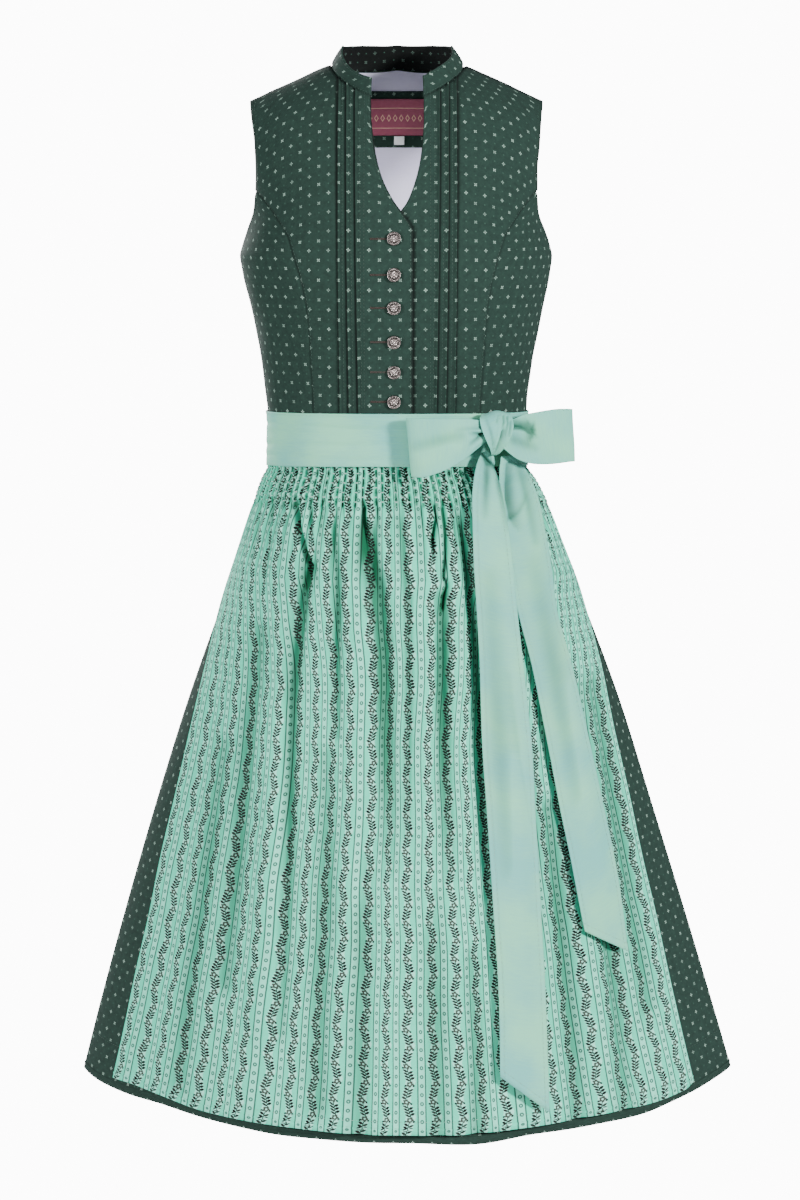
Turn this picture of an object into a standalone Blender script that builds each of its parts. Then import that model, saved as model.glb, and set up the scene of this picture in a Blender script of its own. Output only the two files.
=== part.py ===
# Dirndl dress in its worn form: a sleeveless bodice with a stand collar, a full skirt
# and a smocked apron tied in a bow at the wearer's left front.
# Metres, +Z up, the wearer faces -Y. The origin is between the shoulder seams.
import math

import bmesh
import bpy
import numpy as np
from mathutils import Vector

MM = 0.001

# Cloth walls and the gaps between pieces.
CLOTH = 1.2 * MM
LINING = 1.0 * MM
SEAM_GAP = 0.3 * MM
SEAM_DRAW = 0.65 * SEAM_GAP
SIDE_DRAW = 0.6 * SEAM_GAP
SIDE_SPREAD = 1.25
LAP_DROP = CLOTH + 0.4 * MM

# Heights that drive the whole garment.
WAIST_SEAM = -345 * MM
SHOULDER_TIP = -16 * MM
BAND_TOP = -318.5 * MM
BAND_BOTTOM = -372 * MM
SMOCK_TOP = BAND_BOTTOM - SEAM_GAP
SMOCK_DEPTH = 35 * MM
TOP_RISE = 2.5 * MM
FRONT_RISE = 5.5 * MM


def slopes_between(keys, values):
    # Slopes that keep a curve through the rows free of overshoot.
    rates = np.diff(values) / np.diff(keys)
    slopes = np.empty(len(keys))
    slopes[0], slopes[-1] = rates[0], rates[-1]
    for index in range(1, len(keys) - 1):
        before, after = rates[index - 1], rates[index]
        same_way = before * after > 0
        slopes[index] = 2 * before * after / (before + after) if same_way else 0.0
    return slopes


class Table:
    # Rows with named columns, read as smooth curves over the first column.
    def __init__(self, columns, rows, plain=()):
        self.columns = columns
        values = np.array(sorted(rows), dtype=float)
        for index, name in enumerate(columns):
            if name not in plain:
                values[:, index] *= MM
        self.keys = values[:, 0]
        self.values = {name: values[:, index] for index, name in enumerate(columns)}
        self.slopes = {name: slopes_between(self.keys, column) for name, column in self.values.items()}

    def read(self, name, key):
        keys, values, slopes = self.keys, self.values[name], self.slopes[name]
        key = min(max(key, keys[0]), keys[-1])
        index = min(max(int(np.searchsorted(keys, key)) - 1, 0), len(keys) - 2)
        span = keys[index + 1] - keys[index]
        part = (key - keys[index]) / span
        start, end = values[index], values[index + 1]
        rise = 3 * part ** 2 - 2 * part ** 3
        leave = (part ** 3 - 2 * part ** 2 + part) * span * slopes[index]
        arrive = (part ** 3 - part ** 2) * span * slopes[index + 1]
        return start + (end - start) * rise + leave + arrive


# Bodice rows from the waist seam to the shoulder seam. side: height at the side seam or
# the armhole. rise: how much higher the row is at the middle. right, left: widths to the
# wearer's right and left. front, back: depths at the middle. front_edge, back_edge:
# depths at the armhole. reach: how much of a quarter round the row covers.
BODICE = Table(
    ("side", "rise", "right", "left", "front", "back", "front_edge", "back_edge", "reach"),
    (
        (-345, 0, 126.3, 125.6, 92, 84, 0, 0, 1.0),
        (-331, 0, 127.0, 126.2, 93.5, 85, 0, 0, 1.0),
        (-317, 0, 128.7, 127.6, 96, 87, 0, 0, 1.0),
        (-298, 0, 130.7, 129.3, 100, 89, 0, 0, 1.0),
        (-268, 0, 134.4, 133.4, 108, 92, 0, 0, 1.0),
        (-239, 0, 139.2, 138.7, 116, 95, 0, 0, 1.0),
        (-209, 0, 145.6, 144.7, 122, 98, 0, 0, 1.0),
        (-182, 0, 152.4, 150.2, 124, 100, 0, 0, 1.0),
        (-165.5, 0, 154.9, 152.2, 123, 102, 0, 0, 1.0),
        (-155, 0, 151.5, 149.2, 121, 102, 7, 7, 0.998),
        (-141, 0, 146.3, 144.0, 118, 103, 18, 15, 0.985),
        (-122, 0, 139.9, 137.6, 113, 103, 30, 26, 0.955),
        (-103, 2, 137.8, 135.6, 106, 102, 38, 34, 0.92),
        (-84, 5, 137.4, 135.6, 96, 99, 38, 36, 0.90),
        (-60, 13, 138.2, 137.9, 80, 93, 32, 30, 0.86),
        (-40, 26, 141.0, 139.8, 61, 83, 21, 20, 0.78),
        (-28, 39, 142.8, 140.8, 40, 70, 9, 14, 0.70),
        (-21, 49, 143.8, 141.8, 18, 52, 0, 11, 0.64),
        (-16, 57, 144.4, 142.2, -8, 8, -8, 8, 0.60),
    ),
    plain=("reach",),
)
BODICE_POWER = 2.3
RISE_POWER = 1.2

# The neck hole is an upright oval cut.
NECK_HALF = 65 * MM
NECK_MIDDLE = 8 * MM
NECK_FRONT = 71.5 * MM
NECK_BACK = 54 * MM

# Front edges, by row height: the neck slit above and the lap below, measured across
# from the middle, negative to the wearer's right.
FRONT_EDGES = Table(
    ("side", "right", "left"),
    (
        (-345, 14.9, -15.0),
        (-165, 14.9, -15.0),
        (-150, 14.9, -14.0),
        (-141, 14.5, -10.5),
        (-136, 12.4, -7.0),
        (-131, 8.8, -2.8),
        (-124, 3.4, 3.2),
        (-116, -2.8, 9.2),
        (-104, -10.4, 14.8),
        (-97, -13.8, 17.3),
        (-88, -17.2, 20.0),
        (-74, -20.9, 22.9),
        (-63, -23.0, 24.3),
        (-50, -24.8, 25.2),
        (-38, -25.2, 25.2),
        (-16, -25.2, 25.2),
    ),
)
LAP_FROM, LAP_TO = 27 * MM, 17 * MM
LAP_BELOW, LAP_FULL = -100 * MM, -121 * MM

# The seam between centre front and side front, as a share of the half width.
PRINCESS = Table(
    ("side", "share"),
    ((-345, 0.63), (-280, 0.62), (-209, 0.60), (-172, 0.625), (-150, 0.69), (-127, 0.835), (-105, 0.985)),
    plain=("share",),
)
PRINCESS_TOP = -106 * MM
ARMHOLE_FOOT = -150 * MM

# Pintucks on each centre front: across positions at the collar and at the waist.
TUCKS = ((39.8 * MM, 36.2 * MM), (48.2 * MM, 45.3 * MM), (55.8 * MM, 54.3 * MM))
TUCK_HEIGHT = 1.1 * MM
TUCK_HALF = 1.3 * MM
TUCK_TOP, TUCK_FOOT = -12 * MM, -314 * MM

# Stand collar from its front end (0) round to the middle of the back (1).
COLLAR = Table(
    ("round", "right", "left", "lean"),
    (
        (0, 16.0, 17.6, 1.5),
        (0.06, 15.0, 18.8, 2.2),
        (0.12, 14.4, 19.0, 3.0),
        (0.2, 14.8, 18.6, 4.8),
        (0.28, 16.8, 18.0, 7.0),
        (0.35, 17.8, 18.0, 9.6),
        (0.43, 18.2, 18.2, 11.8),
        (0.52, 20.2, 20.2, 12.6),
        (0.62, 21.9, 21.9, 12.4),
        (0.8, 22.1, 22.1, 10.2),
        (1, 20.0, 20.0, 6.5),
    ),
    plain=("round",),
)

COLLAR_GAP = 0.9 * MM
COLLAR_CLOTH = 1.3 * CLOTH
COLLAR_CORNER = 3.5 * MM
COLLAR_STEPS = 26
COLLAR_CLIMBS = (0, 0.35, 0.75, 1)

# Skirt sections. right, left: widths at the side seams. front, back: depths at the
# middle. round, point: powers of the section's curve at its middle and at its sides.
SKIRT = Table(
    ("height", "right", "left", "front", "back", "round", "point"),
    (
        (-345.3, 124.4, 123.6, 90.0, 82, 2.3, 2.3),
        (-372, 125.0, 124.4, 91.0, 83, 2.3, 2.25),
        (-384, 130.8, 132.6, 95.5, 88, 2.28, 2.15),
        (-407, 139.2, 144.6, 104, 97, 2.2, 1.9),
        (-440, 150.6, 158.2, 114.5, 107, 2.15, 1.75),
        (-508, 174.8, 185.4, 133, 124, 2.1, 1.6),
        (-609, 210.8, 223.6, 156, 146, 2.05, 1.42),
        (-711, 243.2, 256.0, 177, 166, 2.0, 1.32),
        (-815, 273.9, 288.6, 199, 185, 2.0, 1.27),
        (-919, 302.8, 320.4, 219, 202, 2.0, 1.24),
        (-995, 322.5, 343.0, 235.5, 214, 2.0, 1.23),
    ),
    plain=("round", "point"),
)

# Hem heights over the share of the half round, from the wearer's right to the left.
SKIRT_HEM = Table(
    ("share", "front", "back"),
    (
        (-1, -989, -989),
        (-0.88, -991, -990),
        (-0.62, -987, -991.5),
        (-0.4, -989.5, -989),
        (0, -991, -990.5),
        (0.16, -994, -992),
        (0.3, -991.5, -989),
        (0.6, -994, -991.5),
        (0.88, -988.5, -988),
        (1, -987.5, -987.5),
    ),
    plain=("share",),
)
APRON_HEM = Table(
    ("share", "height"),
    (
        (-1, -977),
        (-0.86, -974),
        (-0.6, -978.3),
        (0, -980.5),
        (0.14, -982),
        (0.5, -980.5),
        (0.86, -983),
        (0.95, -982),
        (1, -977.5),
    ),
    plain=("share",),
)

# How far the apron's side edges lie in front of the side seams, measured across.
APRON_INSET = Table(
    ("height", "right", "left"),
    (
        (-372, 0, 0),
        (-472, 0, 0),
        (-508, 2.8, 3.8),
        (-561, 10.3, 10.6),
        (-628, 17.8, 21.5),
        (-697, 23.8, 27.2),
        (-756, 27.5, 33.2),
        (-815, 32.8, 37.6),
        (-870, 35.4, 42.6),
        (-930, 39, 47),
        (-983, 40.5, 50),
    ),
)
APRON_EDGE_STAND = 2.6 * MM
APRON_STAND = 8.0 * MM
APRON_BEHIND = -0.5 * MM

# Large apron folds. top, foot: how far down a fold begins and ends, as shares of the
# apron's length. at_top, at_foot: its place as a share of the half width. half: half its
# width. depth: how far it sinks into the cloth, or stands above it if less than zero.
APRON_FOLDS = (
    # top, foot, at_top, at_foot, half, depth
    (0.045, 0.20, -0.600, -0.580, 7, 3.0),
    (0.045, 0.85, -0.400, -0.380, 9, 5.2),
    (0.050, 0.45, -0.225, -0.225, 8, 3.4),
    (0.045, 0.66, -0.105, -0.030, 9, 5.2),
    (0.400, 0.78, 0.025, 0.045, 11, 2.6),
    (0.040, 0.22, 0.125, 0.100, 7, 3.0),
    (0.110, 0.62, 0.145, 0.200, 8, 4.6),
    (0.040, 0.62, 0.225, 0.290, 9, 5.4),
    (0.100, 0.90, 0.400, 0.420, 13, 3.0),
    (0.150, 0.95, 0.620, 0.620, 13, 3.6),
    (0.250, 1.00, 0.800, 0.860, 12, 2.6),
    (0.300, 1.00, -0.620, -0.660, 14, 3.0),
    (0.500, 1.00, -0.830, -0.780, 13, 2.6),
    (0.600, 1.00, 0.170, 0.165, 13, 2.8),
    (0.650, 1.00, 0.575, 0.535, 13, 2.8),
    (0.050, 0.50, -0.500, -0.500, 11, -2.0),
    (0.050, 0.60, -0.310, -0.300, 11, -2.2),
    (0.050, 0.60, -0.165, -0.130, 10, -2.2),
    (0.050, 0.60, 0.030, 0.075, 11, -2.2),
    (0.200, 0.90, 0.340, 0.360, 14, -1.8),
    (0.200, 0.90, -0.750, -0.750, 14, -1.8),
)
FOLD_FADE = 0.12
CLOTH_EASE = 1.2

# Smocking and the gathers that run out of it, raised over a plain inside.
SMOCK_PLEATS = 66
SMOCK_HEIGHT = 1.3 * MM
SMOCK_ROWS = 8
SMOCK_STEPS = 4
GATHER_SHIFT = 0.45
FOLD_COLUMNS = 60
GATHER_HEIGHT = 1.6 * MM
GATHER_FADE = 70 * MM
GATHERS = ((23, 0.4, 1.0), (31, 2.1, 0.8), (14, 4.4, 0.9))

# Skirt waves: how many in the half round, where they start, and their share.
SKIRT_WAVES = ((9, 0.6, 0.55), (5, 2.4, 0.45))
BACK_WAVE = 7.0 * MM
FRONT_WAVE = 2.2 * MM
SKIRT_TUCK = 1.8 * MM

# Apron waistband and tie: half widths and depths at the outer face.
BAND = Table(
    ("height", "right", "left", "front", "back", "round", "point"),
    (
        (-372, 130.2, 129.6, 98.0, 91.5, 2.3, 2.3),
        (-345, 130.0, 129.3, 97.8, 91.5, 2.3, 2.3),
        (-318.5, 130.4, 129.7, 99.3, 92.5, 2.3, 2.3),
    ),
    plain=("round", "point"),
)

# Ribbon pieces of the bow, in mm. Each row is a line across the ribbon, from one edge to
# the other edge, and bulge stands its middle out.
LOOP_RIGHT_ROWS = (
    # edge x, y, z, other x, y, z, bulge
    (86, -84.5, -321.5, 88, -84.0, -343.5, 0),
    (70, -94.5, -320.5, 72, -93.5, -352.0, 0),
    (45, -103.0, -319.8, 47, -103.0, -364.0, 0),
    (22, -106.0, -319.5, 26, -106.0, -372.0, 0),
    (11, -107.5, -319.2, 16, -107.5, -374.0, 0),
    (8.2, -111.0, -319.0, 13.4, -111.0, -374.6, 0),
    (11, -115.0, -319.0, 16, -115.0, -374.8, 0),
    (22, -118.0, -319.2, 26, -118.5, -374.6, 0.5),
    (44, -119.0, -319.4, 45, -119.0, -368.2, 0.5),
    (61, -114.0, -319.8, 61, -113.5, -359.6, -1.5),
    (74, -106.5, -320.8, 74, -106.0, -350.0, -4.0),
    (83, -99.0, -323.0, 84, -98.5, -342.5, -5.0),
)
LOOP_LEFT_ROWS = (
    (98, -77.5, -322.0, 98, -77.5, -345.0, 0),
    (112, -68.5, -320.5, 111, -68.0, -354.0, 0),
    (132, -58.0, -317.0, 130, -57.0, -364.0, 0),
    (153, -49.0, -314.2, 150, -48.5, -366.5, 0),
    (165, -44.0, -314.0, 167, -43.0, -366.0, 0),
    (170, -46.0, -314.2, 172.5, -45.0, -365.4, 0),
    (167, -52.0, -314.4, 170, -51.0, -365.0, 0),
    (153.6, -62.0, -313.8, 149, -63.5, -366.6, 0.8),
    (136, -72.0, -315.6, 130, -74.0, -365.4, 0),
    (122, -80.0, -317.6, 116, -82.5, -360.4, -2.5),
    (109, -88.0, -322.6, 105, -90.0, -352.0, -5.0),
    (101, -92.5, -325.0, 99.5, -93.5, -346.5, -5.0),
)
KNOT_ROWS = (
    (83, -84.0, -318.6, 106.5, -74.0, -318.4, 1.0),
    (82, -89.5, -316.4, 107, -79.5, -316.0, 2.0),
    (79.5, -97.5, -318.2, 109, -87.0, -317.2, 4.0),
    (78.5, -105.0, -321.5, 111.2, -94.0, -326.0, 5.0),
    (80.5, -108.0, -330.0, 109.5, -97.5, -334.5, 5.0),
    (84.5, -108.0, -340.0, 105.0, -99.0, -343.5, 4.0),
    (88.5, -104.5, -349.0, 100.8, -98.0, -350.0, 2.5),
    (90.0, -98.5, -354.5, 97.5, -94.5, -354.0, 1.0),
    (90.5, -90.0, -354.5, 97.0, -87.0, -354.0, 0.5),
)

# Bow tails: left and right edges as they hang, and how far they stand off the skirt.
HANG_WIDER = 12 * MM
TAIL_RIGHT_ROWS = (
    # left x, left z, right x, right z, stand
    (85.5, -350.5, 92.5, -357.0, 16.0),
    (77.3, -360.0, 96.0, -372.0, 16.5),
    (72.8, -380.0, 101.0, -388.0, 17.5),
    (71.4, -397.0, 103.6, -402.0, 18.0),
    (72.0, -430.0, 107.5, -434.0, 18.0),
    (73.0, -463.0, 111.0, -467.0, 18.0),
    (77.5, -539.0, 118.5, -541.0, 18.0),
    (80.0, -622.0, 127.4, -623.0, 18.0),
    (84.7, -690.0, 131.4, -694.0, 18.0),
    (91.0, -784.0, 136.5, -787.0, 18.0),
    (95.5, -858.0, 140.5, -868.0, 18.0),
    (96.5, -929.5, 143.4, -967.0, 18.0),
)
TAIL_LEFT_ROWS = (
    (99.5, -358.0, 110.0, -357.0, 12.0),
    (98.0, -374.0, 124.0, -371.0, 12.5),
    (98.0, -398.0, 137.0, -400.0, 13.0),
    (102.0, -430.0, 143.5, -433.0, 13.5),
    (108.0, -465.0, 149.5, -469.0, 13.5),
    (115.0, -503.0, 155.0, -508.0, 13.5),
    (127.8, -553.0, 168.0, -557.0, 13.5),
    (141.0, -616.0, 182.7, -618.0, 13.5),
    (154.3, -684.0, 197.0, -683.0, 13.5),
    (164.0, -730.0, 208.0, -733.0, 13.5),
    (173.0, -776.0, 217.0, -786.0, 13.5),
    (179.5, -808.0, 223.7, -835.0, 13.5),
)

# Metal buttons down the front: heights on the lap and the turned profile.
BUTTON_ACROSS = -3.2 * MM
BUTTON_HEIGHTS = (-150.3, -183.8, -214.7, -246.9, -275.6, -304.2)
BUTTON_PROFILE = ((6.0, 0.0), (6.7, 0.8), (6.0, 1.9), (4.7, 1.4), (2.4, 3.1))
BUTTON_SIDES = 14
BUTTON_STAND = 0.6 * MM

# Back neck pieces: across from the middle and heights, on the inside of the lining.
PATCH_GAP = 0.9 * MM
PATCH_HALF, PATCH_TOP, PATCH_FOOT = 48 * MM, -1 * MM, -57 * MM
LABEL_HALF, LABEL_TOP, LABEL_FOOT = 31 * MM, -8 * MM, -44.5 * MM
TAB_FROM, TAB_TO, TAB_TOP, TAB_FOOT = -3.5 * MM, 7 * MM, -45.5 * MM, -54 * MM


def bulge(share, power, reach):
    # Depth of a rounded row at a share of its width: 1 in the middle, 0 at its edge.
    edge = (1 - reach ** power) ** (1 / power)
    here = (1 - min(share * reach, 1) ** power) ** (1 / power)
    return (here - edge) / (1 - edge)


def bodice_point(row, turn, front):
    # turn runs from -1 at the wearer's right to 1 at the left.
    width = BODICE.read("left" if turn > 0 else "right", row)
    share = math.sin(min(abs(turn), 1) * math.pi / 2)
    middle = BODICE.read("front" if front else "back", row)
    edge = BODICE.read("front_edge" if front else "back_edge", row)
    depth = edge + (middle - edge) * bulge(share, BODICE_POWER, BODICE.read("reach", row))
    height = row + BODICE.read("rise", row) * (1 - share ** RISE_POWER)
    return Vector((math.copysign(width * share, turn), -depth if front else depth, height))


def turn_at(row, across):
    width = BODICE.read("left" if across > 0 else "right", row)
    share = min(abs(across) / width, 1)
    return math.copysign(math.asin(share) * 2 / math.pi, across)


def in_neck(point):
    depth = NECK_FRONT if point.y < NECK_MIDDLE else NECK_BACK
    return (point.x / NECK_HALF) ** 2 + ((point.y - NECK_MIDDLE) / depth) ** 2 < 1


def column_top(across_at, front, low=-100 * MM):
    # The highest row of a column of points: the shoulder seam, or the neck hole's edge.
    high = SHOULDER_TIP
    if not in_neck(bodice_point(high - 0.01 * MM, turn_at(high, across_at(high)), front)):
        return high
    for _ in range(30):
        middle = (low + high) / 2
        if in_neck(bodice_point(middle, turn_at(middle, across_at(middle)), front)):
            high = middle
        else:
            low = middle
    return low


def smooth_step(value, start, end):
    part = min(max((value - start) / (end - start), 0), 1)
    return part * part * (3 - 2 * part)


def outward(surface, first, second, step=0.0004):
    # Unit normal of a surface of two parameters, pointing away from the body's axis.
    along = surface(first + step, second) - surface(first - step, second)
    across = surface(first, second + step) - surface(first, second - step)
    normal = along.cross(across).normalized()
    point = surface(first, second)
    hint = Vector((point.x, point.y, 0.02))
    return normal if normal.dot(hint) > 0 else -normal


def material(name, colour, roughness, metallic=0.0):
    result = bpy.data.materials.new(name)
    result.use_nodes = True
    shader = result.node_tree.nodes["Principled BSDF"]
    shader.inputs["Base Color"].default_value = (*colour, 1)
    shader.inputs["Roughness"].default_value = roughness
    shader.inputs["Metallic"].default_value = metallic
    return result


def zip_rows(mesh, upper, lower):
    # Triangles between two rows of vertices that may differ in number.
    first, second = 0, 0
    while first < len(upper) - 1 or second < len(lower) - 1:
        next_upper = (first + 1) / (len(upper) - 1) if first < len(upper) - 1 else 2
        next_lower = (second + 1) / (len(lower) - 1) if second < len(lower) - 1 else 2
        if next_upper <= next_lower:
            mesh.faces.new((upper[first], upper[first + 1], lower[second]))
            first += 1
        else:
            mesh.faces.new((upper[first], lower[second + 1], lower[second]))
            second += 1


def add_object(name, mesh, cloth):
    bmesh.ops.recalc_face_normals(mesh, faces=mesh.faces)
    if mesh.calc_volume(signed=True) < 0:
        bmesh.ops.reverse_faces(mesh, faces=mesh.faces)
    data = bpy.data.meshes.new(name)
    mesh.to_mesh(data)
    mesh.free()
    data.materials.append(cloth)
    item = bpy.data.objects.new(name, data)
    bpy.context.scene.collection.objects.link(item)
    return item


def add_wall(name, cloth, outer, inner):
    # A closed wall from the rows of its outer face and the rows of its inner face.
    mesh = bmesh.new()
    faces = [[[mesh.verts.new(point) for point in row] for row in rows] for rows in (outer, inner)]
    for rows in faces:
        for upper, lower in zip(rows, rows[1:]):
            zip_rows(mesh, upper, lower)
    outside, inside = faces
    zip_rows(mesh, outside[0], inside[0])
    zip_rows(mesh, outside[-1], inside[-1])
    for end in (0, -1):
        zip_rows(mesh, [row[end] for row in outside], [row[end] for row in inside])
    return add_object(name, mesh, cloth)


def wall_faces(surface, grid, thickness, outset=0.0, raised=None, seam=None):
    # Outer and inner points over a grid of surface parameters. raised lifts outer points
    # only. seam gives the offset direction where a piece meets its neighbour.
    outer, inner = [], []
    for row in grid:
        outer_row, inner_row = [], []
        for first, second in row:
            point = surface(first, second)
            normal = outward(surface, first, second)
            turned = seam(first, second) if seam else None
            if turned is not None:
                normal = turned
            lift = raised(first, second) if raised else 0.0
            outer_row.append(point + normal * (outset + lift))
            inner_row.append(point + normal * (outset - thickness))
        outer.append(outer_row)
        inner.append(inner_row)
    return outer, inner


# Bodice ---------------------------------------------------------------------------

FRONT_ROWS = [
    height * MM
    for height in (
        -345, -326, -310, -278, -244, -209, -182, -166, -150, -137, -124,
        -106, -88, -72, -58, -46, -37, -29, -22, -16,
    )
]
SIDE_ROWS = [height * MM for height in (-345, -326, -310, -278, -244, -209, -182, -166, -152, -137, -121)]
SHOULDER_SPREAD = -62 * MM


def spread_row(row, top):
    # Rows near the neck are drawn together so that each column ends on its edge.
    if row < SHOULDER_SPREAD:
        return row
    part = (row - SHOULDER_SPREAD) / (SHOULDER_TIP - SHOULDER_SPREAD)
    return SHOULDER_SPREAD + part * (top - SHOULDER_SPREAD)


def tuck_line(tuck, row):
    part = (row - WAIST_SEAM) / (SHOULDER_TIP - WAIST_SEAM)
    return tuck[1] + (tuck[0] - tuck[1]) * part


def princess_across(row, side):
    width = BODICE.read("left" if side > 0 else "right", row)
    share = PRINCESS.read("share", row) if row <= PRINCESS_TOP + 2 * MM else 1.0
    return width * share


def centre_front_columns(side):
    # Functions that give each column's across position at a row height.
    edge = "left" if side > 0 else "right"

    def inner_edge(row):
        return FRONT_EDGES.read(edge, row)

    def outer_edge(row):
        gap = SEAM_GAP / 2 if row <= PRINCESS_TOP + 2 * MM else 0.0
        return side * (princess_across(row, side) - gap)

    columns = [inner_edge]
    if side > 0:
        columns.append(lambda row: inner_edge(row) + 0.35 * (31 * MM - inner_edge(row)))
        columns.append(lambda row: inner_edge(row) + 0.72 * (31 * MM - inner_edge(row)))
    else:
        columns.append(lambda row: inner_edge(row) - 0.5 * (31 * MM + inner_edge(row)))
    columns.append(lambda row: side * 31.5 * MM)
    for tuck in TUCKS:
        for shift in (-TUCK_HALF, 0, TUCK_HALF):
            columns.append(lambda row, tuck=tuck, shift=shift: side * (tuck_line(tuck, row) + shift))
    last = columns[-1]
    for part in (0.35, 0.7):
        columns.append(lambda row, part=part: last(row) + part * (outer_edge(row) - last(row)))
    columns.append(outer_edge)
    return columns if side > 0 else columns[::-1]


def shoulder_seam(row, turn):
    if row > SHOULDER_TIP - 1.2 * MM:
        return Vector((math.copysign(0.3, turn), 0, 1)).normalized()
    if abs(turn) > 0.9999 and row < -165 * MM:
        return Vector((math.copysign(1, turn), 0, 0))
    return None


def bodice_surface(front, under=False):
    def surface(row, turn):
        point = bodice_point(row, turn, front)
        if under:
            lapped = smooth_step(point.x, LAP_FROM, LAP_TO) * smooth_step(row, LAP_BELOW, LAP_FULL)
            point.y += LAP_DROP * lapped
        return point

    return surface


def seam_shift(outer, inner, front, sides=(), top=False):
    # Draw the side and shoulder edges back from the seam.
    shift = Vector((0, (-1 if front else 1) * SEAM_DRAW, 0))
    for rows in (outer, inner):
        for row in rows:
            for end in sides:
                if abs(row[end].y) < 1 * MM and row[end].z < ARMHOLE_FOOT:
                    row[end] += shift
        if top:
            rows[-1] = [point + shift for point in rows[-1]]


def centre_front(side, cloth):
    columns = centre_front_columns(side)
    tops = [column_top(across, True) for across in columns]
    grid = []
    for row in FRONT_ROWS:
        heights = [spread_row(row, top) for top in tops]
        grid.append([(height, turn_at(height, across(height))) for height, across in zip(heights, columns)])

    def raised(row, turn):
        across = abs(bodice_point(row, turn, True).x)
        ends = smooth_step(row, TUCK_FOOT - 8 * MM, TUCK_FOOT)
        for tuck in TUCKS:
            if abs(across - tuck_line(tuck, row)) < 0.1 * MM:
                return TUCK_HEIGHT * ends
        return 0.0

    surface = bodice_surface(True, under=side > 0)
    outer, inner = wall_faces(surface, grid, CLOTH, raised=raised, seam=shoulder_seam)
    seam_shift(outer, inner, True, top=True)
    name = "bodice_centre_front_left" if side > 0 else "bodice_centre_front_right"
    return add_wall(name, cloth, outer, inner)


def side_front(side, cloth):
    grid = []
    for row in SIDE_ROWS + [PRINCESS_TOP]:
        start = turn_at(row, princess_across(row, side) + SEAM_GAP / 2)
        turns = [start + (1 - start) * part for part in (0, 0.25, 0.5, 0.75, 1)]
        grid.append([(row, side * turn) for turn in (turns if side > 0 else turns[::-1])])
    outer, inner = wall_faces(bodice_surface(True), grid, CLOTH, seam=shoulder_seam)
    seam_shift(outer, inner, True, sides=(-1,) if side > 0 else (0,))
    name = "bodice_side_front_left" if side > 0 else "bodice_side_front_right"
    return add_wall(name, cloth, outer, inner)


BACK_ROWS = [
    height * MM
    for height in (
        -345, -326, -310, -270, -230, -195, -166, -145, -124, -100,
        -76, -58, -44, -34, -27, -22, -19, -17, -16,
    )
]
BACK_TURNS = [-1 + index / 8 for index in range(17)]
LINING_FROM = 4


def back_grid(turns, rows):
    columns = [lambda row, turn=turn: bodice_point(row, turn, False).x for turn in turns]
    tops = [column_top(across, False) for across in columns]
    grid = []
    for row in rows:
        heights = [spread_row(row, top) for top in tops]
        grid.append([(height, turn) for height, turn in zip(heights, turns)])
    return grid


def back_bodice(cloth):
    grid = back_grid(BACK_TURNS, BACK_ROWS)
    outer, inner = wall_faces(bodice_surface(False), grid, CLOTH, seam=shoulder_seam)
    seam_shift(outer, inner, False, sides=(0, -1), top=True)
    return add_wall("bodice_back", cloth, outer, inner)


def back_lining(cloth):
    grid = [row[1:-1] for row in back_grid(BACK_TURNS, BACK_ROWS)[LINING_FROM:-1]]
    outset = -CLOTH - SEAM_GAP
    outer, inner = wall_faces(bodice_surface(False), grid, LINING, outset=outset, seam=shoulder_seam)
    return add_wall("bodice_back_lining", cloth, outer, inner)


def height_row(height, across):
    # The bodice row that passes through a height on the back at an across position.
    low, high = WAIST_SEAM, -20 * MM
    for _ in range(30):
        middle = (low + high) / 2
        if bodice_point(middle, turn_at(middle, across), False).z < height:
            low = middle
        else:
            high = middle
    return low


def back_patch(name, cloth, left, right, top, foot, outset, columns, rows):
    grid = []
    for row in range(rows + 1):
        height = foot + (top - foot) * row / rows
        acrosses = [left + (right - left) * column / columns for column in range(columns + 1)]
        heights = [height_row(height, across) for across in acrosses]
        grid.append([(row_height, turn_at(row_height, across)) for row_height, across in zip(heights, acrosses)])
    outer, inner = wall_faces(bodice_surface(False), grid, LINING, outset=-outset)
    return add_wall(name, cloth, outer, inner)


# Collar ---------------------------------------------------------------------------


def neckline_point(part):
    # Round the neck hole's edge from the front corner (0) to the middle of the back (1).
    start = math.asin(abs(FRONT_EDGES.read("right", -36 * MM)) / NECK_HALF)
    angle = start + (math.pi - start) * part
    front = angle < math.pi / 2
    across = NECK_HALF * math.sin(angle)
    depth = NECK_FRONT if front else NECK_BACK
    goal = NECK_MIDDLE - depth * math.cos(angle)
    low, high = -100 * MM, SHOULDER_TIP
    for _ in range(30):
        row = (low + high) / 2
        point = bodice_point(row, turn_at(row, across), front)
        ahead = point.y < goal if front else point.y > goal
        low, high = (row, high) if ahead else (low, row)
    return Vector((across, goal, point.z))


def collar_point(part, climb):
    # part runs from -1 to 1 round the neck, climb from the seam (0) to the top edge (1).
    rounded = 1 - abs(part)
    base = neckline_point(rounded)
    inward = Vector((-base.x, NECK_MIDDLE - base.y, 0)).normalized()
    height = COLLAR.read("left" if part > 0 else "right", rounded)
    lean = COLLAR.read("lean", rounded)
    point = base + inward * lean * climb + Vector((0, 0, COLLAR_GAP + height * climb))
    return Vector((math.copysign(point.x, part), point.y, point.z))


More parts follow.
